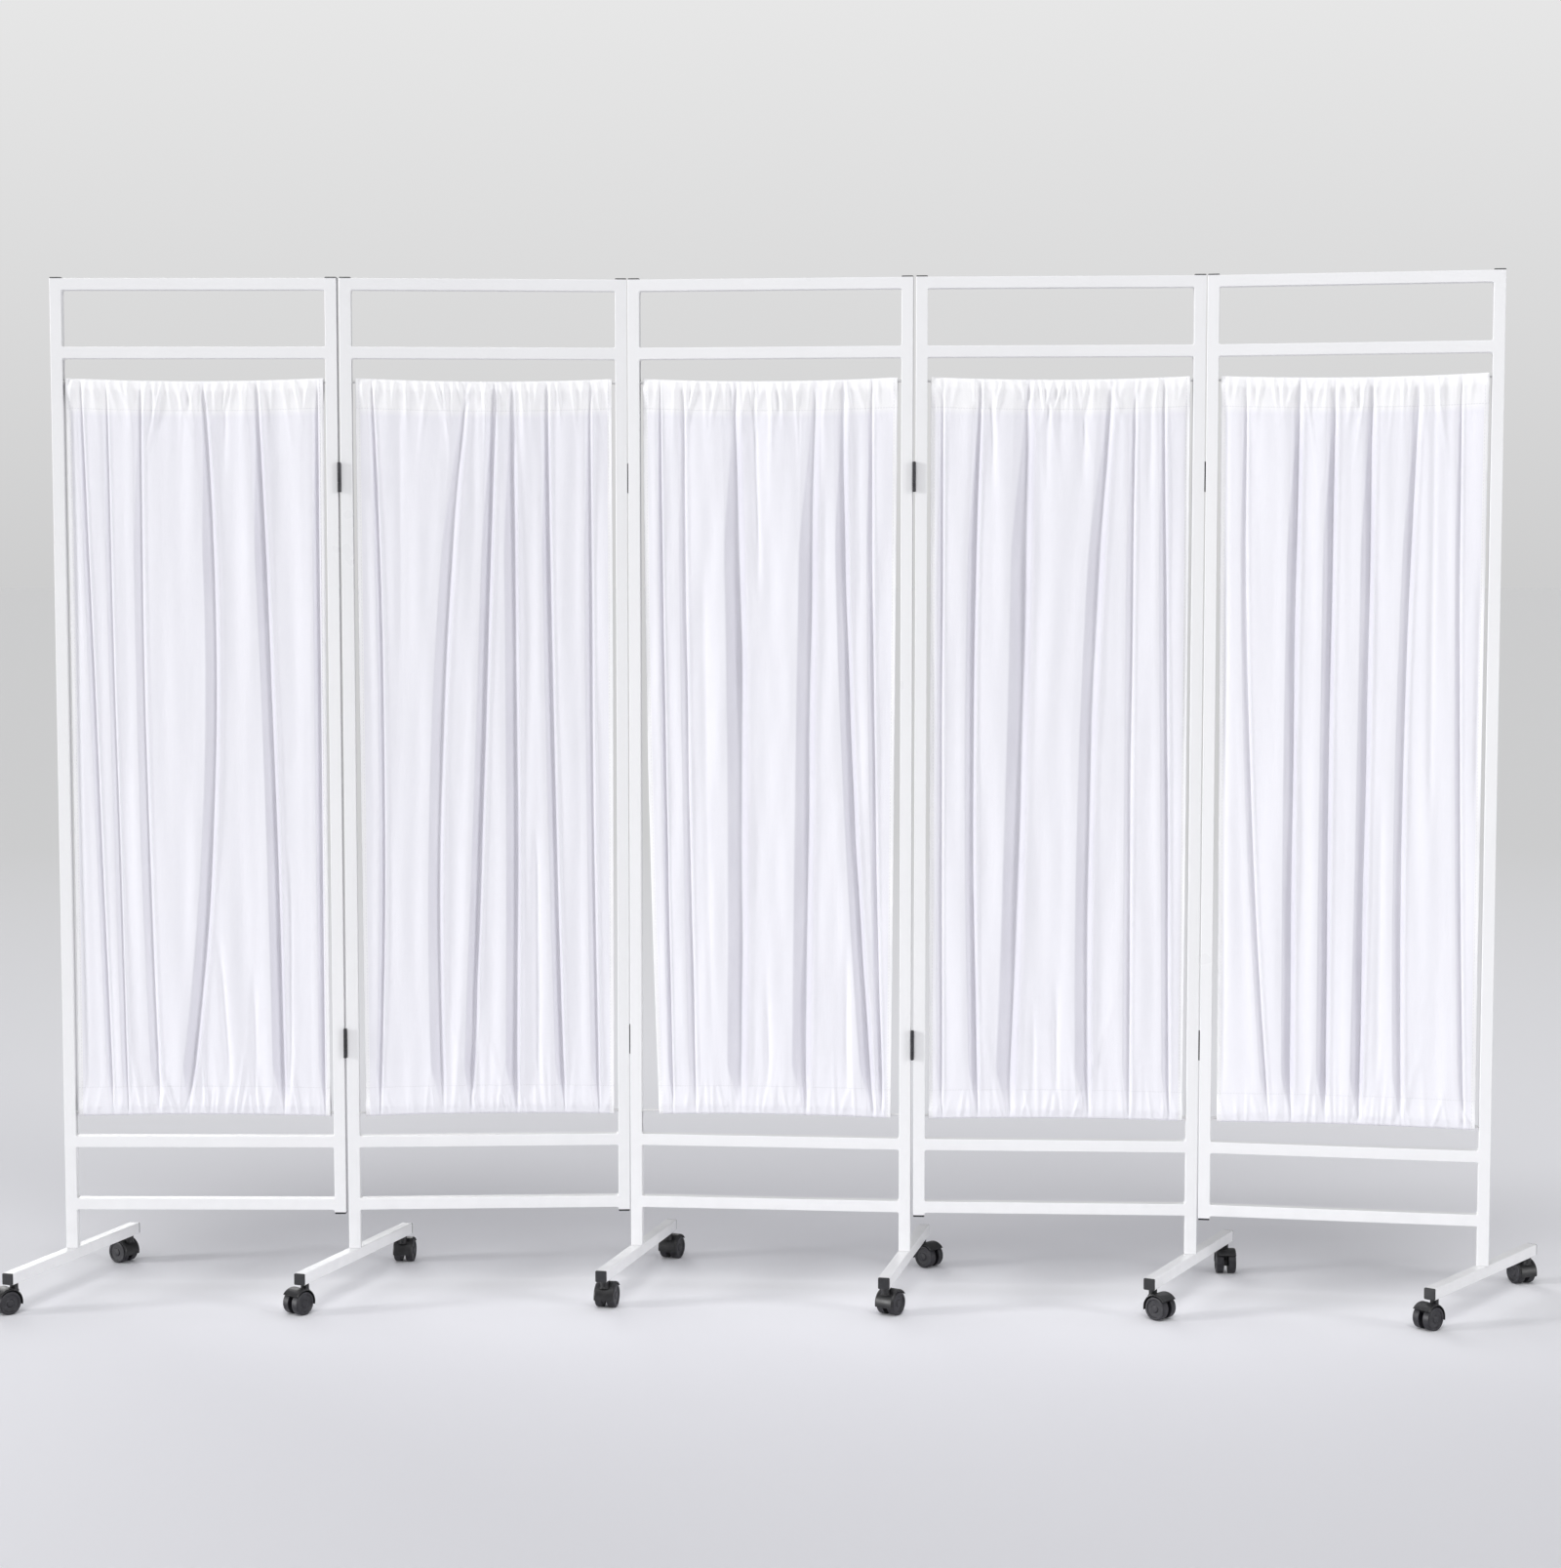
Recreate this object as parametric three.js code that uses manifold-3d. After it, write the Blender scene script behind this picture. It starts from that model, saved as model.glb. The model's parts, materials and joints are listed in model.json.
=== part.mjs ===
// Ward privacy screen on wheels: five hinged panels of white square tube, each with a gathered
// curtain on two sprung wires, standing on six T feet with a pair of twin-wheel casters each.
// Millimetres, +X along the middle panel, +Y to the rear, +Z up, floor at zero.

import * as THREE from 'three';
import { mergeVertices } from 'three/addons/utils/BufferGeometryUtils.js';
import Module from 'manifold-3d';

const wasm = await Module();
wasm.setup();

// Overall sizes
const screenHeight = 1750;
const panelPitch = 495;
const seamGap = 5;

// Square tube and its welded frame
const tube = 20;
const tubeCorner = 2;
const topWindowHeight = 96;
const lowerWindowHeight = 90;
const railClearance = 138;
const stubLength = 4;

// Plastic end caps on the tubes
const capThickness = 2;
const plugThickness = 3;
const plugCore = 16;
const plugDepth = 12;
const capInset = 0.3;
const capBevel = 0.7;

// Clearances
const seatGap = 0.3;
const runningGap = 0.3;
const cutOverrun = 1;

// T feet, which turn on a spigot in the stile
const footLength = 406;
const stemInset = 20;
const spigotRadius = 7;
const spigotLength = 78;

// Twin-wheel casters
const casterHeight = 50;
const casterTrail = 16;
const wheelRadius = 20;
const wheelWidth = 13;
const wheelShoulder = 1.8;
const hubRadius = 6.5;
const hubRise = 1.2;
const discRadius = 14.5;
const discDish = 1.4;
const axleRadius = 3;
const webThickness = 7;
const webHub = 7.5;
const wheelSideGap = 0.8;
const hoodGap = 1.2;
const hoodWall = 2.4;
const hoodFrontDegrees = -12;
const hoodRearDegrees = 142;
const bossRadius = 7;
const bossFoot = 26;
const stemRadius = 4;
const stemLength = 14;

// Butt hinges
const hingeLength = 50;
const upperHingeDrop = 338;
const lowerHingeHeight = 432;
const knuckleRadius = 3.1;
const knuckleProud = 3.6;
const pinRadius = 1.5;
const pinHeadRadius = 2.1;
const pinHeadHeight = 0.8;
const leafThickness = 1.2;
const leafAir = 0.2;
const leafReach = 9;
const knuckleGap = 0.4;
const middleKnuckleShare = 0.36;

// Curtains and their wires
const curtainTopGap = 33;
const curtainFootGap = 34;
const edgeGap = 5;
const curtainTopSag = 5;
const curtainFootRise = 3;
const clothBulk = 3;
const hemDepth = 50;
const wireRadius = 2.2;
const wireInset = 6;
const wireGrip = 6;
const foldDepth = 15;
const foldWidth = 13;
const gatherDepth = 3.2;
const gatherPitch = 32;
const shoulderShare = 1.25;
const crowdShare = 0.42;
const wireHold = 14;

// Facets round each curve
const cornerSteps = 1;
const spigotSides = 12;
const stemSides = 8;
const bossSides = 10;
const axleSides = 10;
const wheelSides = 12;
const hoodSteps = 4;
const knuckleSides = 8;
const pinSides = 6;
const wireSides = 6;
const clothBands = 4;

// The panels from left to right. A seam swings a little past flat at rest, by seamDegrees, and
// its knuckles stand in front (1) or at the rear (-1).
const seamDegrees = [3.3, 8.4, 2.7, 7.3];
const seamFronts = [1, -1, 1, -1];
const middlePanel = 2;

// Feet: the panel and the side of it that each stands under, the turn of the foot, and the way
// its front and rear wheels trail.
const feet = [
  { panel: 0, side: -1, turn: -18, front: -117, rear: 166 },
  { panel: 1, side: -1, turn: -22, front: -107, rear: 104 },
  { panel: 2, side: -1, turn: -9.5, front: 92, rear: 82 },
  { panel: 2, side: 1, turn: -7, front: 68, rear: -30 },
  { panel: 3, side: 1, turn: -25, front: -17, rear: -64 },
  { panel: 4, side: 1, turn: -28.5, front: -103, rear: 150 },
];

// How far each curtain's edges are drawn in from the stiles at the top, half way and at the
// foot, as shares of the edge gap
const leftEdgeShares = [[0.8, 1, 1], [1.2, 1.6, 2.2], [1.2, 2.4, 6], [1.2, 1.2, 1.2], [0.8, 1.4, 2]];
const rightEdgeShares = [[0.8, 1, 1.2], [1.2, 1.2, 1.4], [1.2, 2, 3], [1, 1, 1.2], [0.8, 1.2, 1.2]];

// Main furrows of each curtain: place across the cloth at the top, half way and at the foot,
// then breadth and depth, as shares of the cloth's width and of the fold sizes above
const furrowShares = [
  [
    [0.05, 0.09, 0.13, 0.7, 0.6],
    [0.15, 0.165, 0.19, 0.7, 0.5],
    [0.28, 0.275, 0.31, 1.0, 0.6],
    [0.51, 0.525, 0.42, 1.2, 0.9],
    [0.71, 0.76, 0.79, 1.4, 1.0],
    [0.96, 0.96, 0.965, 0.8, 0.8],
  ],
  [
    [0.04, 0.08, 0.05, 0.8, 0.7],
    [0.43, 0.30, 0.28, 1.3, 0.8],
    [0.525, 0.46, 0.395, 1.2, 1.0],
    [0.59, 0.6, 0.585, 1.5, 1.0],
    [0.725, 0.735, 0.77, 1.2, 0.9],
    [0.9, 0.895, 0.92, 1.0, 0.7],
  ],
  [
    [0.045, 0.055, 0.05, 0.8, 0.7],
    [0.14, 0.145, 0.14, 0.9, 0.6],
    [0.32, 0.345, 0.33, 1.9, 1.0],
    [0.64, 0.62, 0.6, 1.8, 1.0],
    [0.765, 0.8, 0.9, 1.4, 1.0],
    [0.89, 0.905, 0.95, 0.8, 0.7],
  ],
  [
    [0.03, 0.03, 0.04, 0.8, 0.6],
    [0.16, 0.13, 0.16, 1.2, 0.9],
    [0.33, 0.31, 0.27, 1.7, 1.0],
    [0.68, 0.6, 0.59, 1.4, 0.9],
    [0.78, 0.765, 0.76, 0.9, 0.6],
    [0.89, 0.91, 0.93, 0.9, 0.7],
  ],
  [
    [0.09, 0.11, 0.19, 0.8, 0.6],
    [0.28, 0.265, 0.27, 1.3, 1.0],
    [0.42, 0.41, 0.41, 1.2, 1.0],
    [0.55, 0.545, 0.53, 1.3, 1.0],
    [0.74, 0.69, 0.7, 1.2, 0.8],
    [0.88, 0.9, 0.94, 0.8, 0.6],
  ],
];

// Levels worked out from the sizes
const stileTop = screenHeight - capThickness;
const topRail = stileTop - tube / 2;
const secondRail = topRail - tube - topWindowHeight;
const bottomRail = railClearance + tube / 2;
const thirdRail = bottomRail + tube + lowerWindowHeight;
const stubBottom = bottomRail - tube / 2 - stubLength;
const footTop = casterHeight + tube;
const legBottom = footTop + seatGap;
const curtainTop = secondRail - tube / 2 - curtainTopGap;
const curtainFoot = thirdRail + tube / 2 + curtainFootGap;
const clothHeight = curtainTop - curtainFoot;
const upperHinge = stileTop - upperHingeDrop;

// Places across a panel, from its middle
const panelHalf = (panelPitch - seamGap) / 2;
const stileCentre = panelHalf - tube / 2;
const bayHalf = panelHalf - tube;
const hingeStandOff = tube / 2 + knuckleProud;
const gatherCount = Math.round((bayHalf * 2) / gatherPitch);

// Finishes
const paint = new THREE.MeshStandardMaterial({ color: 0xf2f2f2, roughness: 0.35, metalness: 0.0 });
const cloth = new THREE.MeshStandardMaterial({ color: 0xf4f4f6, roughness: 0.9, metalness: 0.0 });
const blackPlastic = new THREE.MeshStandardMaterial({ color: 0x1d1d20, roughness: 0.5, metalness: 0.0 });
const darkSteel = new THREE.MeshStandardMaterial({ color: 0x2a2a2c, roughness: 0.4, metalness: 0.8 });
const greyPlastic = new THREE.MeshStandardMaterial({ color: 0x4a4b4e, roughness: 0.6, metalness: 0.0 });

const radians = THREE.MathUtils.degToRad;

// A closed solid from a geometry, for joining and cutting
function solid(geometry) {
  const bare = geometry.clone();
  bare.deleteAttribute('normal');
  bare.deleteAttribute('uv');
  const merged = mergeVertices(bare);
  return new wasm.Manifold(new wasm.Mesh({
    numProp: 3,
    vertProperties: new Float32Array(merged.attributes.position.array),
    triVerts: new Uint32Array(merged.index.array),
  }));
}

// The geometry of a solid
function skin(body) {
  const mesh = body.getMesh();
  const geometry = new THREE.BufferGeometry();
  geometry.setAttribute('position', new THREE.BufferAttribute(mesh.vertProperties, 3));
  geometry.setIndex(new THREE.BufferAttribute(mesh.triVerts, 1));
  geometry.computeVertexNormals();
  return geometry;
}

function named(name, body, material) {
  const mesh = new THREE.Mesh(skin(body), material);
  mesh.name = name;
  return mesh;
}

// A square with round corners, centred on the origin
function roundedSquare(side, corner) {
  const straight = side / 2 - corner;
  const middles = [[1, -1], [1, 1], [-1, 1], [-1, -1]];
  const points = [];
  middles.forEach(([x, y], quarter) => {
    for (let step = 0; step <= cornerSteps; step += 1) {
      const angle = (Math.PI / 2) * (quarter - 1 + step / cornerSteps);
      points.push(new THREE.Vector2(
        x * straight + corner * Math.cos(angle), y * straight + corner * Math.sin(angle)));
    }
  });
  return new THREE.Shape(points);
}

function extruded(shape, depth) {
  return new THREE.ExtrudeGeometry(shape, { depth, bevelEnabled: false, curveSegments: hoodSteps });
}

// An upright length of square tube
function uprightTube(x, low, high) {
  const geometry = extruded(roundedSquare(tube, tubeCorner), high - low);
  return solid(geometry.translate(x, 0, low));
}

// A level length of square tube between two places along X
function levelTube(left, right, height) {
  const geometry = extruded(roundedSquare(tube, tubeCorner), right - left);
  return solid(geometry.rotateY(Math.PI / 2).translate(left, 0, height));
}

// A moulded cap with a bevelled rim, its flat back on the origin and its face along +Z
function capGeometry(thickness) {
  const side = tube - 2 * capInset;
  const shape = roundedSquare(side - 2 * capBevel, tubeCorner - capBevel);
  return new THREE.ExtrudeGeometry(shape, {
    depth: thickness - capBevel,
    bevelThickness: capBevel,
    bevelSize: capBevel,
    bevelSegments: 1,
  });
}

// The cap's bevelled block, cut off flat at its back and sunk by overrun into what it closes
function cap(thickness, overrun) {
  const block = solid(capGeometry(thickness));
  const backBox = new THREE.BoxGeometry(tube * 2, tube * 2, tube);
  return block.subtract(solid(backBox.translate(0, 0, -tube / 2 - overrun)));
}

function turnedSolid(geometry, axis, angle, place) {
  const turned = geometry.clone();
  turned.applyMatrix4(new THREE.Matrix4().makeRotationAxis(axis, angle));
  return solid(turned.translate(...place));
}

const xAxis = new THREE.Vector3(1, 0, 0);

// An upright round bar or bore between two heights
function uprightRound(radius, x, y, low, high, sides) {
  const geometry = new THREE.CylinderGeometry(radius, radius, high - low, sides);
  return turnedSolid(geometry, xAxis, Math.PI / 2, [x, y, (low + high) / 2]);
}

// A level round bore along X
function levelBore(radius, left, right, height, sides) {
  const geometry = new THREE.CylinderGeometry(radius, radius, right - left, sides);
  return solid(geometry.rotateZ(Math.PI / 2).translate((left + right) / 2, 0, height));
}

// A bore of this radius clears a round of the other radius all the way round
function boreRadius(radius, gap, sides) {
  return (radius + gap) / Math.cos(Math.PI / sides);
}

const wireTopHeight = curtainTop - wireInset;
const wireFootHeight = curtainFoot + wireInset;
const wireHole = boreRadius(wireRadius, runningGap, wireSides);
const spigotHole = boreRadius(spigotRadius, runningGap, spigotSides);

// One welded frame. A stile with a foot runs down to it and is bored for its spigot, and the
// other ends at a plug below the bottom rail.
function frame(name, leftFoot, rightFoot) {
  let body = levelTube(-stileCentre, stileCentre, topRail);
  for (const height of [secondRail, thirdRail, bottomRail]) {
    body = body.add(levelTube(-stileCentre, stileCentre, height));
  }
  for (const [side, hasFoot] of [[-1, leftFoot], [1, rightFoot]]) {
    const x = side * stileCentre;
    const low = hasFoot ? legBottom : stubBottom;
    body = body.add(uprightTube(x, low, stileTop));
    body = body.add(cap(capThickness, cutOverrun).translate(x, 0, stileTop));
    const face = side * bayHalf;
    const back = side * (bayHalf + wireGrip);
    const ends = [face - side * cutOverrun, back].sort((a, b) => a - b);
    for (const height of [wireTopHeight, wireFootHeight]) {
      body = body.subtract(levelBore(wireHole, ends[0], ends[1], height, wireSides));
    }
    if (hasFoot) {
      const top = footTop + spigotLength + seatGap;
      body = body.subtract(uprightRound(spigotHole, x, 0, low - cutOverrun, top, spigotSides));
    } else {
      const pocket = new THREE.BoxGeometry(
        plugCore + 2 * runningGap, plugCore + 2 * runningGap, plugDepth + runningGap + cutOverrun);
      const middle = low + (plugDepth + runningGap - cutOverrun) / 2;
      body = body.subtract(solid(pocket.translate(x, 0, middle)));
    }
  }
  return named(name, body, paint);
}

// The plug that closes the foot of a stile that has no foot
function stubPlug(name, side) {
  const flange = cap(plugThickness, 0).rotate([180, 0, 0]);
  const core = new THREE.BoxGeometry(plugCore, plugCore, plugDepth + plugThickness / 2);
  const body = flange.add(solid(core.translate(0, 0, (plugDepth - plugThickness / 2) / 2)));
  const mesh = named(name, body, greyPlastic);
  mesh.position.set(side * stileCentre, 0, stubBottom - seatGap);
  return mesh;
}

const stemHole = boreRadius(stemRadius, runningGap, stemSides);
const stemReach = footLength / 2 - stemInset;

// One foot: a level tube from front to rear, capped at both ends, with the spigot that turns in
// the stile on top and a socket for a caster stem near each end
function foot(name) {
  const straight = footLength - 2 * plugThickness;
  const barGeometry = extruded(roundedSquare(tube, tubeCorner), straight);
  const barMiddle = casterHeight + tube / 2;
  let body = solid(barGeometry.rotateX(Math.PI / 2).translate(0, straight / 2, barMiddle));
  const endCap = cap(plugThickness, cutOverrun);
  body = body.add(endCap.rotate([90, 0, 0]).translate(0, -straight / 2, barMiddle));
  body = body.add(endCap.rotate([-90, 0, 0]).translate(0, straight / 2, barMiddle));
  const spigotLow = footTop - tube / 4;
  body = body.add(uprightRound(spigotRadius, 0, 0, spigotLow, footTop + spigotLength, spigotSides));
  for (const y of [-stemReach, stemReach]) {
    const top = casterHeight + stemLength + seatGap;
    body = body.subtract(uprightRound(stemHole, 0, y, casterHeight - cutOverrun, top, stemSides));
  }
  return named(name, body, paint);
}

// The wheel's polygon stands on a flat, as far below the axle as the wheel's own radius
const wheelCorner = wheelRadius / Math.cos(Math.PI / wheelSides);
const hoodInner = wheelCorner + hoodGap;
const hoodOuter = hoodInner + hoodWall;
const webHalf = webThickness / 2;
const wheelInner = webHalf + wheelSideGap;
const wheelOuter = wheelInner + wheelWidth;

// Side view of the web between the wheels, under the arc of the hood and down to the axle hub
function webShape() {
  const start = radians(hoodFrontDegrees);
  const end = radians(hoodRearDegrees);
  const middle = (hoodInner + hoodOuter) / 2;
  const shape = new THREE.Shape();
  shape.absarc(0, 0, middle, start, end);
  shape.absarc(0, 0, webHub, end, start + Math.PI * 2);
  return shape;
}

// Side view of the hood's curved wall
function hoodShape() {
  const start = radians(hoodFrontDegrees);
  const end = radians(hoodRearDegrees);
  const shape = new THREE.Shape();
  shape.absarc(0, 0, hoodOuter, start, end);
  shape.absarc(0, 0, hoodInner, end, start, true);
  return shape;
}

// A side-view shape made as wide as asked, centred on the caster's middle plane
function acrossCaster(shape, width) {
  const geometry = extruded(shape, width);
  return solid(geometry.rotateX(Math.PI / 2).translate(0, width / 2, 0));
}

// One caster body: stem, boss, hood and web. Its swivel axis is the origin, the axle lies back
// along -X by the trail, and heights count from the floor.
function casterHousing(name) {
  const hood = acrossCaster(hoodShape(), 2 * wheelOuter);
  const web = acrossCaster(webShape(), webThickness);
  const hoodAndWeb = hood.add(web).translate(-casterTrail, 0, wheelRadius);
  const bossTop = casterHeight - seatGap;
  const boss = uprightRound(bossRadius, 0, 0, bossFoot, bossTop, bossSides);
  const room = new THREE.CylinderGeometry(hoodInner, hoodInner, bossRadius * 3, wheelSides);
  const wheelRoom = solid(room.translate(-casterTrail, 0, wheelRadius));
  const stem = uprightRound(
    stemRadius, 0, 0, bossTop - cutOverrun, casterHeight + stemLength, stemSides);
  const axleHole = boreRadius(axleRadius, runningGap, axleSides);
  const bore = new THREE.CylinderGeometry(axleHole, axleHole, webThickness * 2, axleSides);
  let body = hoodAndWeb.add(boss.subtract(wheelRoom));
  body = body.add(stem);
  body = body.subtract(solid(bore.translate(-casterTrail, 0, wheelRadius)));
  return named(name, body, blackPlastic);
}

// Two wheels on one axle, turned as one profile from the left hub to the right
function wheelPair(name) {
  const disc = wheelOuter - discDish;
  const rightSide = [
    [axleRadius, wheelInner],
    [wheelCorner, wheelInner],
    [wheelCorner, wheelOuter - wheelShoulder],
    [wheelCorner - wheelShoulder, wheelOuter],
    [discRadius, disc],
    [hubRadius, disc],
    [hubRadius - hubRise / 2, disc + hubRise],
    [0, disc + hubRise],
  ];
  const leftSide = rightSide.map(([radius, reach]) => [radius, -reach]).reverse();
  const profile = [...leftSide, ...rightSide].map(([radius, reach]) => new THREE.Vector2(radius, reach));
  const geometry = new THREE.LatheGeometry(profile, wheelSides, Math.PI / wheelSides);
  return named(name, solid(geometry), blackPlastic);
}

// One leaf's plate, its knuckle end on the swivel axis, cut back where the other leaf's
// knuckles turn. It lies on the side of the axis given by side.
function leafPlate(side, cutRanges) {
  const depth = knuckleProud + leafReach;
  const outer = seamGap / 2 - leafAir;
  const middle = side * (outer - leafThickness / 2);
  const plate = new THREE.BoxGeometry(leafThickness, depth, hingeLength);
  let body = solid(plate.translate(middle, depth / 2, 0));
  const cutDepth = knuckleRadius + knuckleGap;
  for (const [low, high] of cutRanges) {
    const notch = new THREE.BoxGeometry(leafThickness * 3, cutDepth + cutOverrun, high - low);
    body = body.subtract(solid(notch.translate(middle, (cutDepth - cutOverrun) / 2, (low + high) / 2)));
  }
  return body;
}

const hingeHalf = hingeLength / 2;
const middleHalf = (hingeLength * middleKnuckleShare) / 2;

// The leaf that holds the pin, with a knuckle at each end
function pinLeaf(name) {
  const outerStart = middleHalf + knuckleGap;
  let body = leafPlate(-1, [[-outerStart, outerStart]]);
  for (const end of [-1, 1]) {
    const low = Math.min(end * outerStart, end * hingeHalf);
    const high = Math.max(end * outerStart, end * hingeHalf);
    body = body.add(uprightRound(knuckleRadius, 0, 0, low, high, knuckleSides));
  }
  body = body.add(uprightRound(pinRadius, 0, 0, -hingeHalf, hingeHalf, pinSides));
  const headHeight = hingeLength + 2 * pinHeadHeight;
  const headTop = headHeight / 2;
  const cheek = hingeHalf - pinHeadHeight;
  body = body.add(uprightRound(pinHeadRadius, 0, 0, cheek, headTop, pinSides));
  body = body.add(uprightRound(pinHeadRadius, 0, 0, -headTop, -cheek, pinSides));
  return named(name, body, darkSteel);
}

// The leaf whose one knuckle turns on the pin
function eyeLeaf(name) {
  const past = hingeHalf + cutOverrun;
  let body = leafPlate(1, [[-past, -middleHalf], [middleHalf, past]]);
  body = body.add(uprightRound(knuckleRadius, 0, 0, -middleHalf, middleHalf, knuckleSides));
  const hole = boreRadius(pinRadius, runningGap, pinSides);
  body = body.subtract(uprightRound(hole, 0, 0, -past, past, pinSides));
  return named(name, body, darkSteel);
}

// A value that runs through three given ones from the top of a curtain to its foot
function throughThree(top, middle, low, down) {
  const straight = top + (low - top) * down;
  const bow = middle - (top + low) / 2;
  return straight + bow * 4 * down * (1 - down);
}

// How far a curtain's cloth lies behind its middle plane at a place across and down it
function clothDepth(furrows, width, across, down) {
  let depth = 0;
  for (const [top, middle, low, breadthShare, depthShare] of furrows) {
    const breadth = (foldWidth * breadthShare) / width;
    const away = (across - throughThree(top, middle, low, down)) / breadth;
    depth += depthShare * Math.exp(-away * away);
  }
  const opening = Math.min(1, (Math.min(down, 1 - down) * clothHeight) / hemDepth);
  const gathers = Math.sin(across * gatherCount * 2 * Math.PI);
  const main = foldDepth * opening * (Math.min(depth, 1) - 0.5);
  return main + gatherDepth * (1 - opening) * gathers;
}

// Columns across the cloth that run down its furrows: each furrow's middle and two shoulders,
// and the crowns between them
function clothColumns(furrows, width, down) {
  const places = [0];
  const middles = furrows.map(([top, middle, low]) => throughThree(top, middle, low, down));
  furrows.forEach(([, , , breadthShare], furrow) => {
    const here = middles[furrow];
    const before = furrow > 0 ? middles[furrow - 1] : -here;
    const after = furrow < middles.length - 1 ? middles[furrow + 1] : 2 - here;
    const breadth = (shoulderShare * foldWidth * breadthShare) / width;
    const left = here - Math.min(breadth, (here - before) * crowdShare);
    places.push((places[places.length - 1] + left) / 2);
    places.push(left);
    places.push(here);
    places.push(here + Math.min(breadth, (after - here) * crowdShare));
  });
  places.push((places[places.length - 1] + 1) / 2);
  places.push(1);
  return places;
}

// Rows down the cloth, as shares of its height: its edges, its hem seams and even bands between
function clothRows() {
  const hem = hemDepth / clothHeight;
  const rows = [0];
  for (let band = 0; band <= clothBands; band += 1) {
    rows.push(hem + ((1 - 2 * hem) * band) / clothBands);
  }
  rows.push(1);
  return rows;
}

// The cloth as one closed solid of even bulk, gathered between drawn-in edges
function clothGeometry(furrows, leftEdge, rightEdge) {
  const positions = [];
  const rows = clothRows();
  for (const face of [-1, 1]) {
    for (const down of rows) {
      const left = -bayHalf + throughThree(...leftEdge, down);
      const right = bayHalf - throughThree(...rightEdge, down);
      for (const across of clothColumns(furrows, right - left, down)) {
        const bow = 4 * across * (1 - across);
        const topHere = curtainTop - curtainTopSag * bow;
        const footHere = curtainFoot + curtainFootRise * bow;
        const depth = clothDepth(furrows, right - left, across, down);
        positions.push(left + (right - left) * across);
        positions.push(depth + (face * clothBulk) / 2);
        positions.push(topHere + (footHere - topHere) * down);
      }
    }
  }
  const line = clothColumns(furrows, bayHalf * 2, 0).length;
  const lastRow = rows.length - 1;
  const sheet = line * rows.length;
  const index = [];
  const quad = (a, b, c, d) => index.push(a, b, c, a, c, d);
  for (let row = 0; row < lastRow; row += 1) {
    for (let column = 0; column < line - 1; column += 1) {
      const a = row * line + column;
      quad(a, a + line, a + line + 1, a + 1);
      quad(sheet + a, sheet + a + 1, sheet + a + line + 1, sheet + a + line);
    }
    const left = row * line;
    const right = left + line - 1;
    quad(left, sheet + left, sheet + left + line, left + line);
    quad(right, right + line, sheet + right + line, sheet + right);
  }
  for (let column = 0; column < line - 1; column += 1) {
    const low = lastRow * line + column;
    quad(column, column + 1, sheet + column + 1, sheet + column);
    quad(low, sheet + low, sheet + low + 1, low + 1);
  }
  const geometry = new THREE.BufferGeometry();
  geometry.setAttribute('position', new THREE.Float32BufferAttribute(positions, 3));
  geometry.setIndex(index);
  return geometry;
}

// The end of a sprung wire, from inside the hem into the hole in the stile
function wireEnd(side, edge, height) {
  const outer = bayHalf + wireGrip - seatGap;
  const inner = bayHalf - edge - wireHold;
  const geometry = new THREE.CylinderGeometry(wireRadius, wireRadius, outer - inner, wireSides);
  return solid(geometry.rotateZ(Math.PI / 2).translate((side * (outer + inner)) / 2, 0, height));
}

function curtain(name, panel) {
  const leftEdge = leftEdgeShares[panel].map((share) => share * edgeGap);
  const rightEdge = rightEdgeShares[panel].map((share) => share * edgeGap);
  let body = solid(clothGeometry(furrowShares[panel], leftEdge, rightEdge));
  const lastPlace = leftEdge.length - 1;
  for (const [side, edge] of [[-1, leftEdge], [1, rightEdge]]) {
    body = body.add(wireEnd(side, edge[0], wireTopHeight));
    body = body.add(wireEnd(side, edge[lastPlace], wireFootHeight));
  }
  return named(name, body, cloth);
}

// A group whose origin lies at a place in its parent, turned about the upright axis
function jointGroup(x, y, degrees) {
  const group = new THREE.Group();
  group.position.set(x, y, 0);
  group.rotation.z = radians(degrees);
  return group;
}

// One panel in its own group, its middle at the group's origin
function panelGroup(panel) {
  const group = new THREE.Group();
  const number = panel + 1;
  const leftFoot = feet.some((one) => one.panel === panel && one.side < 0);
  const rightFoot = feet.some((one) => one.panel === panel && one.side > 0);
  group.add(frame(`frame_${number}`, leftFoot, rightFoot));
  group.add(curtain(`curtain_${number}`, panel));
  if (!leftFoot) {
    group.add(stubPlug(`stub_plug_${number}_left`, -1));
  }
  if (!rightFoot) {
    group.add(stubPlug(`stub_plug_${number}_right`, 1));
  }
  return group;
}

// Both hinges of a seam. In front of the panels the pin leaf is on the left one, and at the
// rear the hinge is turned half round, so that it is on the right one.
function seamHinges(seam, leftPanel, rightPanel) {
  const front = seamFronts[seam];
  const turn = front > 0 ? 0 : Math.PI;
  const heights = { upper: upperHinge, lower: lowerHingeHeight };
  for (const [level, height] of Object.entries(heights)) {
    const pin = pinLeaf(`hinge_${seam + 1}_${level}_pin_leaf`);
    const eye = eyeLeaf(`hinge_${seam + 1}_${level}_eye_leaf`);
    const leftLeaf = front > 0 ? pin : eye;
    const rightLeaf = front > 0 ? eye : pin;
    leftLeaf.position.set(panelPitch / 2, -front * hingeStandOff, height);
    rightLeaf.position.set(-panelPitch / 2, -front * hingeStandOff, height);
    leftLeaf.rotation.z = turn;
    rightLeaf.rotation.z = turn;
    leftPanel.add(leftLeaf);
    rightPanel.add(rightLeaf);
  }
}

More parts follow.
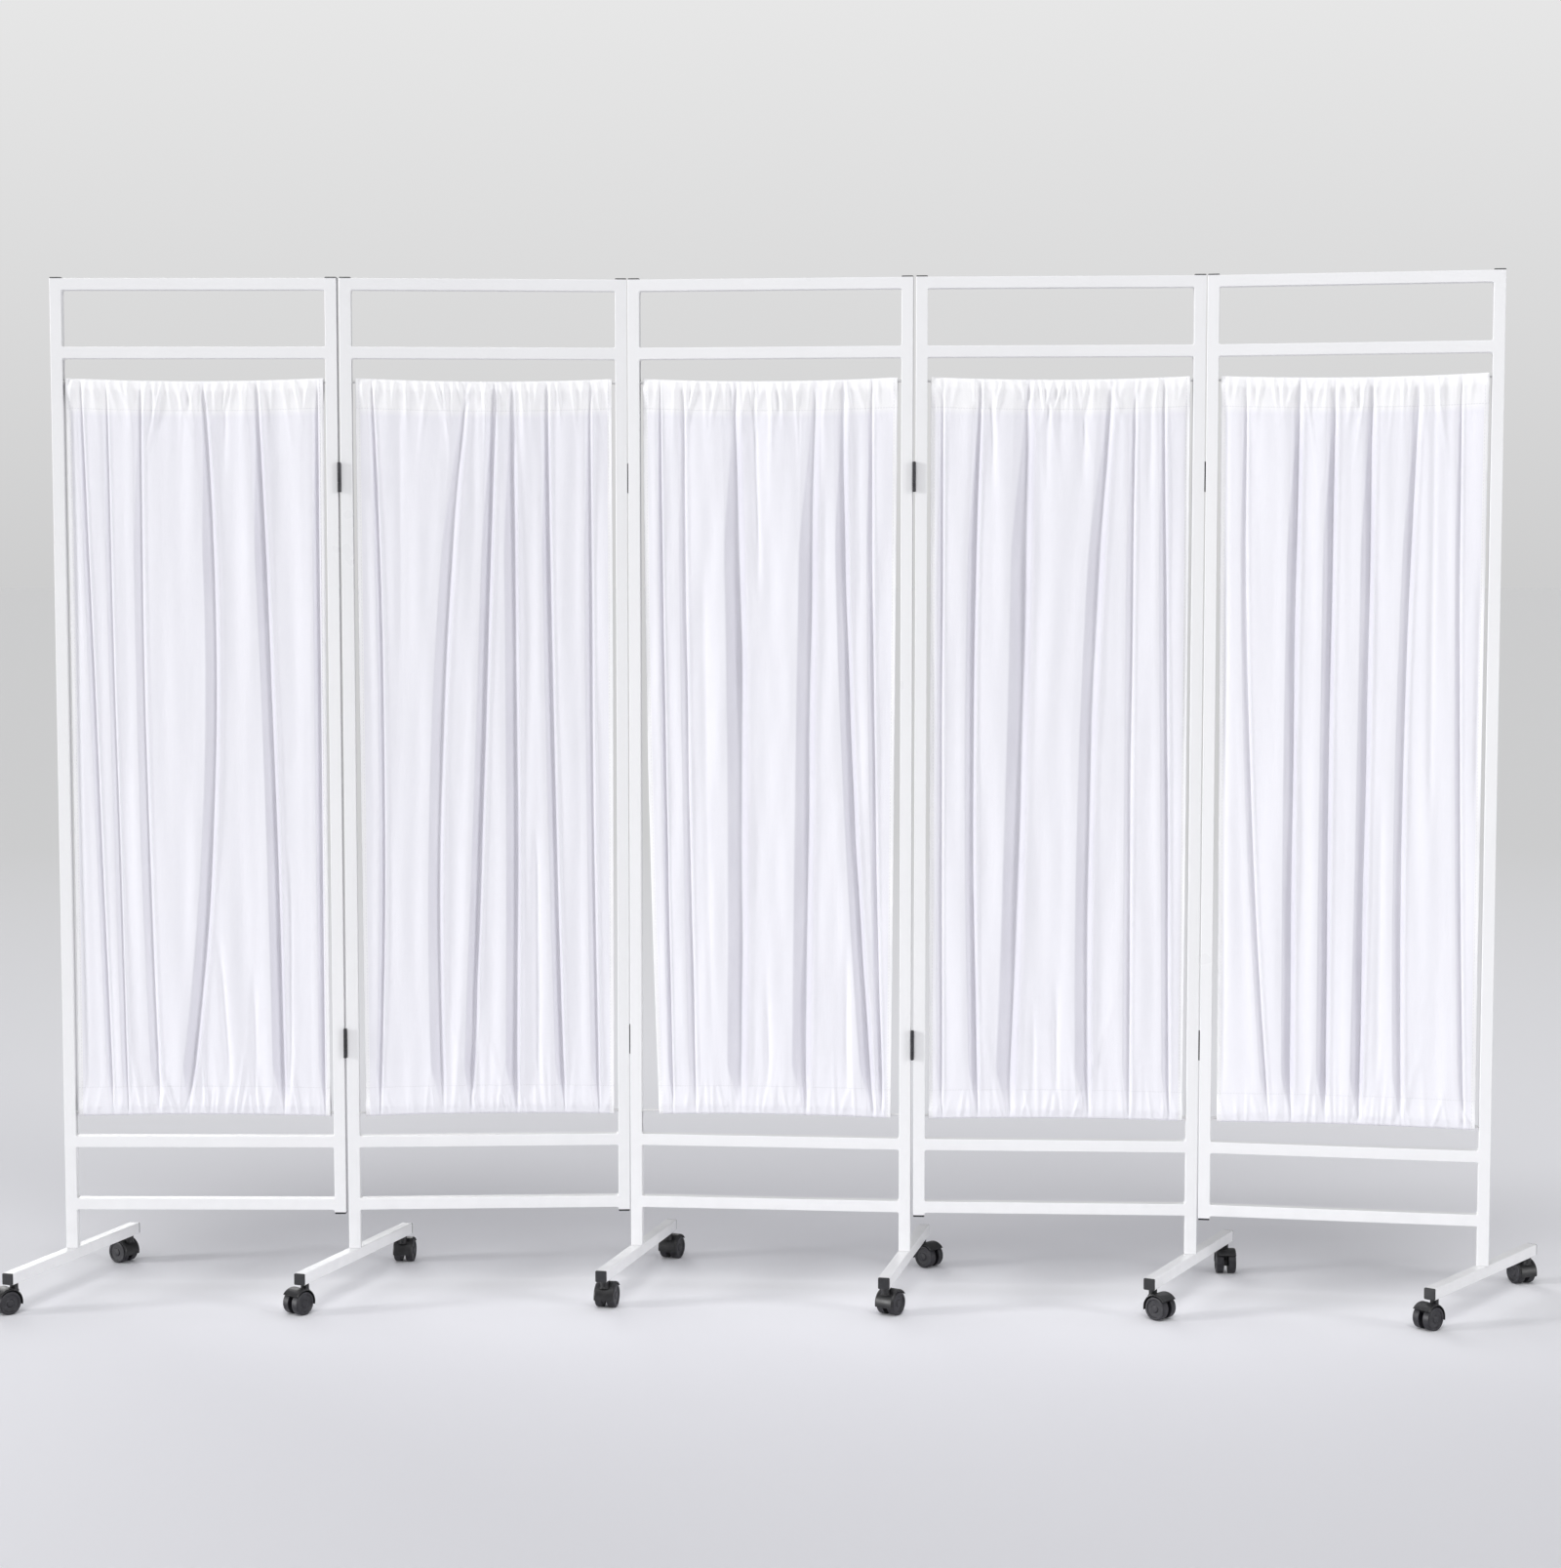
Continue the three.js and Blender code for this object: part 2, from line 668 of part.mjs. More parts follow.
// Hangs the outer panel on the inner one at their seam. The seam lies to the right of the inner
// panel when side is 1, and to its left when side is -1.
function hangPanel(inner, outer, seam, side) {
  const front = seamFronts[seam];
  const pivot = jointGroup((side * panelPitch) / 2, -front * hingeStandOff, side * front * seamDegrees[seam]);
  outer.position.set((side * panelPitch) / 2, front * hingeStandOff, 0);
  pivot.add(outer);
  inner.add(pivot);
}

// One foot with its two casters, standing under its stile
function footGroup(entry, number) {
  const group = jointGroup(entry.side * stileCentre, 0, entry.turn);
  group.add(foot(`foot_${number}`));
  const ends = { front: -stemReach, rear: stemReach };
  for (const [end, reach] of Object.entries(ends)) {
    const caster = jointGroup(0, reach, entry[end] + 180);
    caster.add(casterHousing(`caster_${number}_${end}`));
    const wheels = wheelPair(`wheels_${number}_${end}`);
    wheels.position.set(-casterTrail, 0, wheelRadius);
    caster.add(wheels);
    group.add(caster);
  }
  return group;
}

const panels = furrowShares.map((_, panel) => panelGroup(panel));
for (let seam = 0; seam < seamDegrees.length; seam += 1) {
  seamHinges(seam, panels[seam], panels[seam + 1]);
}
for (let panel = middlePanel; panel < panels.length - 1; panel += 1) {
  hangPanel(panels[panel], panels[panel + 1], panel, 1);
}
for (let panel = middlePanel; panel > 0; panel -= 1) {
  hangPanel(panels[panel], panels[panel - 1], panel - 1, -1);
}
feet.forEach((entry, place) => panels[entry.panel].add(footGroup(entry, place + 1)));

// The floor is zero, and the origin lies below the middle of the whole screen
const screen = new THREE.Group();
screen.add(panels[middlePanel]);
screen.updateMatrixWorld(true);
const bounds = new THREE.Box3().setFromObject(screen, true);
const centre = bounds.getCenter(new THREE.Vector3());
panels[middlePanel].position.set(-centre.x, -centre.y, -bounds.min.z);
screen.updateMatrixWorld(true);

export default screen;
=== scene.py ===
"""Ward privacy screen on wheels: five hinged panels of white square tube, each with a gathered
curtain on two sprung wires, on six T feet with a pair of twin-wheel casters each.
Metres, +X along the middle panel, +Y to the rear, +Z up, floor at zero."""

import json
import math

import bmesh
import bpy
import numpy as np
from bpy.props import FloatProperty, FloatVectorProperty, IntProperty, PointerProperty
from bpy.types import Operator, Panel, PropertyGroup
from mathutils import Matrix, Vector


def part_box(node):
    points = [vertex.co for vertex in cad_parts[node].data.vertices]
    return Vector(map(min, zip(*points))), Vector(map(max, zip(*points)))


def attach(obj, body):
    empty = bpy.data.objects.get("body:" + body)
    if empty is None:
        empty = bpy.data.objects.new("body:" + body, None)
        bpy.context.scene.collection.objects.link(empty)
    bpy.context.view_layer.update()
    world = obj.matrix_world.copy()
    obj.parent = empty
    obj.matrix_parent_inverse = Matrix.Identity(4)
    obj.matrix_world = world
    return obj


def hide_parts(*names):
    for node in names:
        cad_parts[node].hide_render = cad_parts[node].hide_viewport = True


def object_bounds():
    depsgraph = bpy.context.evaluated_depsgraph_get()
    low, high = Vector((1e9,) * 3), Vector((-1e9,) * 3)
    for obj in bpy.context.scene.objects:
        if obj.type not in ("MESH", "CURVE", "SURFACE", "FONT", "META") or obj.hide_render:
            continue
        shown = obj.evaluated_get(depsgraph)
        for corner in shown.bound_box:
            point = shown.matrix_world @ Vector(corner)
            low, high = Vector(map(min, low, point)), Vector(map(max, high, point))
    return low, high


bl_info = {
    "name": "Ward Privacy Screen",
    "version": (1, 0, 0),
    "blender": (4, 5, 0),
    "location": "3D View > Sidebar > Screen",
    "description": "Builds a folding ward privacy screen on wheels round its frame",
    "category": "Add Mesh",
}

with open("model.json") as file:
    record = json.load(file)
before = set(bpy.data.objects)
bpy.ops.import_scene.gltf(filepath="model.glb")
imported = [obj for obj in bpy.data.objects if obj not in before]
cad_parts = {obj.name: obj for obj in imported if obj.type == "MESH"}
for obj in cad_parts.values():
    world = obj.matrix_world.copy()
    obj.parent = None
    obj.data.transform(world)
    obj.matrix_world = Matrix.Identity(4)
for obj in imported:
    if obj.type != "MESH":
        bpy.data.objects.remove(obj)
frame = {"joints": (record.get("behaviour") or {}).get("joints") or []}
cad_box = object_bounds()

# The layout: panels from left to right, the stile that each foot stands under, as its panel and
# the side of it, whether a seam's knuckles stand in front (1) or at the rear (-1), and the levels
# of a seam's hinges and of a curtain's wires
PANELS = (1, 2, 3, 4, 5)
SIDES = {"left": -1, "right": 1}
FEET = {1: (1, -1), 2: (2, -1), 3: (3, -1), 4: (3, 1), 5: (4, 1), 6: (5, 1)}
SEAM_FRONTS = {1: 1, 2: -1, 3: 1, 4: -1}
LEVELS = ("upper", "lower")
CASTER_ENDS = {"front": -1, "rear": 1}

# How far each curtain's edges are drawn in from the stiles at the top, half way and at the foot,
# as shares of the edge gap
LEFT_EDGE_SHARES = {1: (0.8, 1, 1), 2: (1.2, 1.6, 2.2), 3: (1.2, 2.4, 6), 4: (1.2, 1.2, 1.2),
                    5: (0.8, 1.4, 2)}
RIGHT_EDGE_SHARES = {1: (0.8, 1, 1.2), 2: (1.2, 1.2, 1.4), 3: (1.2, 2, 3), 4: (1, 1, 1.2),
                     5: (0.8, 1.2, 1.2)}

# Main furrows of each curtain: place across the cloth at the top, half way and at the foot, then
# breadth and depth, as shares of the cloth's width and of the fold sizes
FURROW_SHARES = {
    1: (
        (0.05, 0.09, 0.13, 0.7, 0.6),
        (0.15, 0.165, 0.19, 0.7, 0.5),
        (0.278, 0.277, 0.313, 1.1, 0.6),
        (0.513, 0.547, 0.42, 1.5, 0.9),
        (0.725, 0.775, 0.8, 1.4, 1.0),
        (0.967, 0.967, 0.97, 0.8, 0.8),
    ),
    2: (
        (0.055, 0.085, 0.05, 0.7, 0.7),
        (0.42, 0.305, 0.295, 1.5, 0.8),
        (0.53, 0.475, 0.41, 1.2, 1.0),
        (0.593, 0.6, 0.587, 1.4, 1.0),
        (0.735, 0.752, 0.787, 1.0, 0.9),
        (0.905, 0.908, 0.927, 0.9, 0.7),
    ),
    3: (
        (0.06, 0.065, 0.055, 0.6, 0.7),
        (0.15, 0.155, 0.15, 0.9, 0.6),
        (0.34, 0.363, 0.335, 2.1, 1.0),
        (0.66, 0.638, 0.613, 1.95, 1.0),
        (0.775, 0.812, 0.91, 1.4, 1.0),
        (0.89, 0.91, 0.955, 0.8, 0.7),
    ),
    4: (
        (0.04, 0.04, 0.045, 0.7, 0.6),
        (0.185, 0.157, 0.185, 1.1, 0.9),
        (0.358, 0.338, 0.298, 2.1, 1.0),
        (0.685, 0.613, 0.61, 1.7, 0.9),
        (0.78, 0.775, 0.78, 0.9, 0.6),
        (0.89, 0.913, 0.935, 0.9, 0.7),
    ),
    5: (
        (0.09, 0.11, 0.195, 0.8, 0.6),
        (0.287, 0.273, 0.275, 1.3, 1.0),
        (0.42, 0.41, 0.41, 1.25, 1.0),
        (0.557, 0.553, 0.537, 1.3, 1.0),
        (0.737, 0.695, 0.705, 1.15, 0.8),
        (0.892, 0.91, 0.947, 0.7, 0.6),
    ),
}

# Smaller furrows that run down only part of a curtain: place across at the top and at the foot,
# the stretch of the height that they run over, and depth, as shares
SHORT_FURROW_SHARES = {
    1: ((0.01, 0.03, 0.0, 1.0, 0.35), (0.61, 0.62, 0.0, 0.12, 0.5), (0.775, 0.78, 0.0, 0.1, 0.45),
        (0.84, 0.84, 0.7, 1.0, 0.4), (0.42, 0.61, 0.8, 1.0, 0.45), (0.7, 0.7, 0.85, 1.0, 0.4)),
    2: ((0.69, 0.69, 0.65, 1.0, 0.45), (0.45, 0.45, 0.87, 1.0, 0.4), (0.63, 0.64, 0.0, 0.12, 0.5),
        (0.985, 0.985, 0.0, 0.2, 0.35), (0.17, 0.14, 0.0, 0.4, 0.2)),
    3: ((0.43, 0.52, 0.0, 0.3, 0.5), (0.7, 0.7, 0.0, 0.16, 0.45), (0.475, 0.475, 0.86, 1.0, 0.45),
        (0.81, 0.81, 0.8, 1.0, 0.4), (0.23, 0.24, 0.3, 0.9, 0.2)),
    4: ((0.24, 0.24, 0.0, 0.16, 0.45), (0.45, 0.46, 0.0, 0.15, 0.4), (0.59, 0.6, 0.0, 0.14, 0.4),
        (0.85, 0.85, 0.0, 0.16, 0.4), (0.99, 0.99, 0.0, 1.0, 0.3), (0.5, 0.5, 0.86, 1.0, 0.45),
        (0.41, 0.41, 0.9, 1.0, 0.4)),
    5: ((0.02, 0.02, 0.0, 1.0, 0.35), (0.8, 0.815, 0.0, 0.6, 0.35), (0.98, 0.98, 0.3, 0.6, 0.35),
        (0.63, 0.62, 0.6, 1.0, 0.25)),
}


# Sizes and colours that a user would change

def length(name, description, default):
    """A length that a user can change."""
    return FloatProperty(name=name, description=description, default=default, min=0.0,
                         precision=4, unit="LENGTH", subtype="DISTANCE")


def share(name, description, default):
    """A share of another size that a user can change."""
    return FloatProperty(name=name, description=description, default=default, min=0.0,
                         subtype="FACTOR")


def angle(name, description, degrees):
    """An angle that a user can change."""
    return FloatProperty(name=name, description=description, default=math.radians(degrees),
                         unit="ROTATION", subtype="ANGLE")


def count(name, description, default):
    """A number of steps or copies that a user can change."""
    return IntProperty(name=name, description=description, default=default, min=1)


def colour(name, description, default):
    """A colour that a user can change."""
    return FloatVectorProperty(name=name, description=description, default=default, size=3,
                               min=0.0, max=1.0, subtype="COLOR")


def power(name, description, default):
    """A light's strength that a user can change."""
    return FloatProperty(name=name, description=description, default=default, min=0.0)


class FrameSizes(PropertyGroup):
    """Sizes of the welded frames of square tube."""

    side: length("Tube side", "Outer width of the square tube", 0.020)
    corner: length("Tube corner", "Radius along the tube's edges", 0.002)
    wall: length("Tube wall", "Thickness of the tube's wall", 0.0015)
    weld: length("Weld", "Radius of the weld in each inner corner", 0.003)
    pitch: length("Panel pitch", "Width of a panel from seam to seam", 0.495)
    seam_gap: length("Seam gap", "Room between two panels", 0.005)
    top_window: length("Top window", "Height of the opening under the top rail", 0.096)
    lower_window: length("Lower window", "Height of the opening over the bottom rail", 0.090)
    clearance: length("Clearance", "Height of the bottom rail over the floor", 0.138)
    stub: length("Stub", "How far a stile without a foot runs on below the bottom rail", 0.004)
    cap: length("Cap", "Thickness of the cap on a stile", 0.002)
    plug: length("Plug", "Thickness of the plug in the end of a foot or stub", 0.003)
    cap_inset: length("Cap inset", "How far a cap stays inside the tube's outline", 0.0003)
    cap_bevel: length("Cap bevel", "Rounding round a cap's rim", 0.0007)
    core: length("Core", "Width of the part of a cap that sits in the tube", 0.016)
    core_depth: length("Core depth", "Depth of the part of a cap that sits in the tube", 0.012)
    play: length("Play", "Gap between pieces that touch", 0.0003)

    @property
    def panel_half(self):
        """Half the width of a panel."""
        return (self.pitch - self.seam_gap) / 2

    @property
    def stile_centre(self):
        """From the middle of a panel to the middle of a stile."""
        return self.panel_half - self.side / 2

    @property
    def bay_half(self):
        """Half the opening between a panel's stiles."""
        return self.panel_half - self.side

    @property
    def stile_top(self):
        """The height of the stiles' tops, under their caps."""
        return cad_box[1].z - self.cap

    @property
    def leg_bottom(self):
        """The height at which a stile stands on its foot."""
        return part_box("frame_3")[0].z

    @property
    def stub_bottom(self):
        """The height at which a stile without a foot ends."""
        return self.clearance - self.stub

    @property
    def rails(self):
        """Heights of the middles of the four rails, from the lowest up."""
        lowest = self.clearance + self.side / 2
        highest = self.stile_top - self.side / 2
        return (lowest, lowest + self.side + self.lower_window,
                highest - self.side - self.top_window, highest)


class CurtainSizes(PropertyGroup):
    """Sizes of the gathered curtains and their wires."""

    flat_width: length("Flat width", "Width of the cloth before it was gathered", 0.58)
    flat_length: length("Flat length", "Length of the cloth with both hems let down", 1.376)
    thickness: length("Thickness", "Thickness of the cloth", 0.0005)
    hem: length("Hem", "Depth of the hems at the top and the foot", 0.050)
    side_hem: length("Side hem", "Width of the hems at the sides", 0.010)
    stitch: length("Stitch", "Length of one stitch", 0.003)
    edge_gap: length("Edge gap", "Room between the cloth's side edge and the stile", 0.005)
    top_sag: length("Top sag", "How far the upper wire sags in its middle", 0.005)
    foot_rise: length("Foot rise", "How far the lower wire is drawn up in its middle", 0.003)
    wire_radius: length("Wire radius", "Radius of the coated sprung wire", 0.0022)
    wire_inset: length("Wire inset", "From the middle of a wire to the edge of its hem", 0.006)
    wire_grip: length("Wire grip", "How far a wire's end enters the stile", 0.006)
    ease: length("Ease", "Room round a wire in its hem", 0.0006)
    fold_depth: length("Fold depth", "Depth of the main furrows", 0.0085)
    lean: share("Lean", "How far a furrow's deepest line lies to the right", 0.55)
    fold_width: length("Fold width", "Half width of the main furrows", 0.0075)
    ridge: length("Ridge", "Height of the ridge on each side of a furrow", 0.0022)
    bulge: length("Bulge", "How far the hems stand off the wire between the furrows", 0.0050)
    gather_depth: length("Gather depth", "Depth of the gathers at the wires", 0.0042)
    gather_width: length("Gather width", "Half width of the gathers", 0.0036)
    gathers: count("Gathers", "Number of gathers along each wire", 30)
    foot_share: share("Gathers at the foot", "Depth of the lower gathers over the upper", 0.7)
    pinch: share("Pinch", "How much the cloth draws in sideways at a furrow", 0.2)
    columns: count("Columns", "Steps across the cloth", 300)
    rows: count("Rows", "Steps down the cloth between its hems", 92)


class HingeSizes(PropertyGroup):
    """Sizes of the butt hinges."""

    length: length("Length", "Length of a leaf", 0.050)
    upper_drop: length("Upper drop", "From the stiles' tops to the upper hinges", 0.338)
    lower_height: length("Lower height", "Height of the lower hinges", 0.432)
    knuckle: length("Knuckle radius", "Outer radius of a knuckle", 0.0031)
    proud: length("Proud", "How far the pin stands off the tube's face", 0.0036)
    pin: length("Pin radius", "Radius of the pin", 0.0015)
    head: length("Head radius", "Radius of the pin's heads", 0.0021)
    head_height: length("Head height", "Height of the pin's heads", 0.0008)
    leaf: length("Leaf", "Thickness of a leaf", 0.0012)
    air: length("Leaf air", "Gap between a leaf and its stile", 0.0002)
    reach: length("Leaf reach", "How far a leaf runs back over its stile", 0.009)
    gap: length("Knuckle gap", "Gap between two knuckles", 0.0004)
    middle: share("Middle knuckle", "Length of the middle knuckle over the hinge's", 0.36)
    rivet: length("Rivet radius", "Radius of a rivet's head", 0.0019)
    rivet_height: length("Rivet height", "Height of a rivet's head", 0.00025)


class FootSizes(PropertyGroup):
    """Sizes of the T feet."""

    length: length("Length", "Length of a foot from front to rear", 0.406)
    stem_inset: length("Stem inset", "From a foot's end to the middle of a caster's stem", 0.020)
    spigot: length("Spigot radius", "Radius of the pivot that turns in the stile", 0.007)
    spigot_length: length("Spigot length", "Length of the pivot above the foot", 0.078)


class CasterSizes(PropertyGroup):
    """Sizes of the twin-wheel casters."""

    height: length("Height", "From the floor to the foot", 0.050)
    trail: length("Trail", "From the swivel axis back to the axle", 0.016)
    radius: length("Wheel radius", "Radius of a wheel", 0.020)
    width: length("Wheel width", "Width of one wheel", 0.013)
    shoulder: length("Shoulder", "Rounding at a wheel's outer edge", 0.0024)
    disc: length("Disc radius", "Radius of the dished disc in a wheel's side", 0.0152)
    dish: length("Dish", "Depth of the dished disc", 0.0016)
    hub: length("Hub radius", "Radius of the hub cap", 0.0058)
    hub_rise: length("Hub rise", "Height of the hub cap over the dished disc", 0.0013)
    axle: length("Axle radius", "Radius of the axle", 0.003)
    web: length("Web", "Thickness of the web between the wheels", 0.007)
    web_hub: length("Web hub radius", "Radius of the web's boss round the axle", 0.0075)
    gap: length("Wheel gap", "Gap between the web and a wheel", 0.0008)
    hood_inner: length("Hood inner radius", "Inner radius of the hood", 0.0219)
    hood_outer: length("Hood outer radius", "Outer radius of the hood", 0.0243)
    hood_front: angle("Hood front", "Where the hood starts, over level at the front", -12)
    hood_rear: angle("Hood rear", "Where the hood ends, over level at the front", 142)
    boss: length("Boss radius", "Radius of the neck under the foot", 0.007)
    boss_foot: length("Boss foot", "Height at which the neck runs into the hood", 0.0365)
    stem: length("Stem radius", "Radius of the steel stem", 0.004)
    stem_length: length("Stem length", "Length of the stem inside the foot", 0.014)


class FinishColours(PropertyGroup):
    """Colours of the finishes."""

    paint: colour("Paint", "Powder coat on the frames and feet", (0.86, 0.86, 0.872))
    cloth: colour("Cloth", "Single cloth of the curtains", (0.885, 0.88, 0.93))
    # Hem: whiter doubled cloth; on the top hem it is also painted light from above
    hem: colour("Hem", "Doubled cloth of the hems", (0.97, 0.967, 0.975))
    # Pleat: painted shade, a darker colour laid over the furrows' pleats where shade falls
    pleat_shade: colour("Pleat", "Cloth that lies over itself in a pleat", (0.71, 0.70, 0.765))
    wire: colour("Wire", "Coating of the sprung wires", (0.80, 0.80, 0.80))
    cap: colour("Cap", "Moulded caps and plugs", (0.020, 0.0205, 0.023))
    hinge: colour("Hinge", "Darkened steel of the hinges", (0.060, 0.060, 0.064))
    housing: colour("Housing", "Moulded caster bodies", (0.010, 0.010, 0.011))
    wheel: colour("Wheel", "Moulded wheels", (0.013, 0.0125, 0.017))
    steel: colour("Steel", "Bright steel of the stems", (0.55, 0.56, 0.58))
    # Floor and far floor: painted light, lighter under the screen and greyer farther off
    floor: colour("Floor", "Plain floor under the screen", (0.82, 0.82, 0.85))
    far_floor_shade: colour("Far floor", "Plain floor farther off", (0.72, 0.72, 0.72))


class StageLook(PropertyGroup):
    """Camera and lights."""

    eye: FloatVectorProperty(name="Camera place", description="Where the camera stands", size=3,
                             default=(0.4576, -4.7863, 1.2267), unit="LENGTH",
                             subtype="TRANSLATION")
    pitch: angle("Camera pitch", "How far the camera looks down", 4.047)
    yaw: angle("Camera yaw", "How far the camera turns to the left", 5.472)
    lens: FloatProperty(name="Lens", description="Focal length in millimetres", default=64.73,
                        min=1.0)
    floor_radius: length("Floor radius", "How far the floor runs in all directions", 900.0)
    key: power("Key light", "Strength of the light in front", 1.25)
    left: power("Left light", "Strength of the light on the left", 2.0)
    right: power("Right light", "Strength of the light on the right", 1.0)
    back: power("Back light", "Strength of the light behind", 0.8)
    sky: power("Sky", "Strength of the light from all round", 0.25)
    # Horizon: painted shade, the backdrop darker where it meets the floor and palest higher up
    horizon_shade: colour("Horizon", "Backdrop where it meets the floor", (0.615, 0.615, 0.618))
    backdrop: colour("Backdrop", "Backdrop overhead", (0.80, 0.80, 0.80))
    fade: share("Fade", "Height at which the backdrop is palest", 0.2)


class ScreenSettings(PropertyGroup):
    """All that a user can change."""

    frame: PointerProperty(type=FrameSizes)
    curtain: PointerProperty(type=CurtainSizes)
    hinge: PointerProperty(type=HingeSizes)
    foot: PointerProperty(type=FootSizes)
    caster: PointerProperty(type=CasterSizes)
    colours: PointerProperty(type=FinishColours)
    stage: PointerProperty(type=StageLook)


# Places, all from the frame's joints

def joint_place(name):
    """Where a joint of the frame lies, seen from above."""
    joint = next(one for one in frame["joints"] if one["name"] == name)
    return Vector((joint["pos_m"][0], joint["pos_m"][1], 0))


def facing(direction):
    """The turn about Z that brings +X to a level direction."""
    return Matrix.Rotation(math.atan2(direction.y, direction.x), 4, "Z")


def panel_anchors(panel, settings):
    """A panel's joints from left to right, as pairs of a place in the panel and a joint's name."""
    sizes = settings.frame
    stand_off = sizes.side / 2 + settings.hinge.proud
    anchors = []
    for foot, (owner, side) in FEET.items():
        if owner == panel:
            anchors.append((Vector((side * sizes.stile_centre, 0, 0)), f"foot_turn_{foot}"))
    for seam, front in SEAM_FRONTS.items():
        if panel in (seam, seam + 1):
            side = 1 if panel == seam else -1
            pin = Vector((side * sizes.pitch / 2, -front * stand_off, 0))
            anchors.append((pin, f"seam_{seam}"))
    return sorted(anchors, key=lambda anchor: anchor[0].x)


def panel_place(panel, settings):
    """The turn and shift that carry a panel from its own middle to its place in the screen."""
    anchors = panel_anchors(panel, settings)
    first, last = anchors[0], anchors[-1]
    start, end = joint_place(first[1]), joint_place(last[1])
    turn = facing(end - start) @ facing(last[0] - first[0]).inverted()
    return Matrix.Translation(start - turn @ first[0]) @ turn


def foot_place(foot):
    """The place of a foot, with +Y from its front to its rear."""
    along = joint_place(f"caster_swivel_{foot}_rear") - joint_place(f"caster_swivel_{foot}_front")
    quarter = Matrix.Rotation(-math.pi / 2, 4, "Z")
    return Matrix.Translation(joint_place(f"foot_turn_{foot}")) @ facing(along) @ quarter


def caster_place(foot, end):
    """The place of a caster, with its swivel axis on the origin and its axle at -X."""
    swivel = joint_place(f"caster_swivel_{foot}_{end}")
    axle = joint_place(f"wheel_spin_{foot}_{end}")
    return Matrix.Translation(swivel) @ facing(swivel - axle)


def has_foot(panel, side):
    """Whether a foot stands under that side of a panel."""
    return (panel, side) in FEET.values()


# Small steps in mesh making that several pieces share

# Two lengths are the same where they differ by less than TINY, two points where they are nearer
# than MERGED, and two directions where the cosine between them is more than ALONG
TINY = 1e-5
MERGED = 1e-6
ALONG = 0.99

# The square that a round spot is cut into, over the spot's radius
SPOT_ROOM = 1.15

# Faces that meet at more than the first angle have a sharp edge between them, which may be
# rounded, and edges over the second are shaded as sharp
CLEAR_ANGLE = math.radians(30)
SHADED_ANGLE = math.radians(35)


def rounded(bm, geom, radius, segments, affect="EDGES"):
    """Rounds edges or corners."""
    bmesh.ops.bevel(bm, geom=geom, offset=radius, offset_type="OFFSET", affect=affect,
                    segments=segments, profile=0.5, material=-1, clamp_overlap=True)


def runs_along(edge, axis):
    """Whether an edge is parallel to the axis of that number."""
    line = edge.verts[1].co - edge.verts[0].co
    return abs(line[axis]) > ALONG * line.length


def is_sharp(edge):
    """Whether the faces on both sides of an edge meet at a clear angle."""
    return edge.calc_face_angle(0.0) > CLEAR_ANGLE


def middle_of(edge):
    """The middle of an edge."""
    return (edge.verts[0].co + edge.verts[1].co) / 2


def close_to(value, other):
    """Whether two sizes are the same, but for rounding."""
    return abs(value - other) < TINY


def merge(target, part, place=Matrix()):
    """Adds a part to a mesh that is being made, and frees it."""
    bmesh.ops.transform(part, matrix=place, verts=part.verts)
    mesh = bpy.data.meshes.new("part")
    part.to_mesh(mesh)
    part.free()
    target.from_mesh(mesh)
    bpy.data.meshes.remove(mesh)


def block(low, high):
    """A box between two corners."""
    bm = bmesh.new()
    low, high = Vector(low), Vector(high)
    size = Matrix.Diagonal((*(high - low), 1))
    bmesh.ops.create_cube(bm, size=1.0, matrix=Matrix.Translation((low + high) / 2) @ size)
    return bm


def plate(columns, rows, kept, depth):
    """A plate in the XZ plane, cut from a grid of columns and rows and made as thick as asked to
    the rear. The cells stay whose middle passes the test."""
    bm = bmesh.new()
    across, up = len(columns) - 1, len(rows) - 1
    bmesh.ops.create_grid(bm, x_segments=across, y_segments=up, size=0.5)
    for vert in bm.verts:
        column = round((vert.co.x + 0.5) * across)
        row = round((vert.co.y + 0.5) * up)
        vert.co = (columns[column], 0, rows[row])
    cut = [face for face in bm.faces if not kept(face.calc_center_median())]
    bmesh.ops.delete(bm, geom=cut, context="FACES")
    thick = bmesh.ops.extrude_face_region(bm, geom=bm.faces[:])["geom"]
    moved = [item for item in thick if isinstance(item, bmesh.types.BMVert)]
    bmesh.ops.translate(bm, verts=moved, vec=(0, depth, 0))
    bmesh.ops.recalc_face_normals(bm, faces=bm.faces)
    bm.normal_update()
    return bm


def sunk(bm, face, rim, depth):
    """Sinks the middle of an end face inside its rim, as a tube's hollow end."""
    bmesh.ops.inset_individual(bm, faces=[face], thickness=rim, use_even_offset=True)
    deeper = bmesh.ops.extrude_discrete_faces(bm, faces=[face])["faces"][0]
    bmesh.ops.translate(bm, verts=deeper.verts, vec=deeper.normal * -depth)


def flat_face(bm, centre, normal):
    """The flat face that faces along normal and holds the point."""
    held = [face for face in bm.faces
            if face.normal.dot(normal) > ALONG
            and abs((face.calc_center_median() - centre).dot(normal)) < TINY]
    return min(held, key=lambda face: (face.calc_center_bounds() - centre).length)


def widest_face(bm, normal):
    """The largest face that faces along normal."""
    held = [face for face in bm.faces if face.normal.dot(normal) > ALONG]
    return max(held, key=lambda face: face.calc_area())


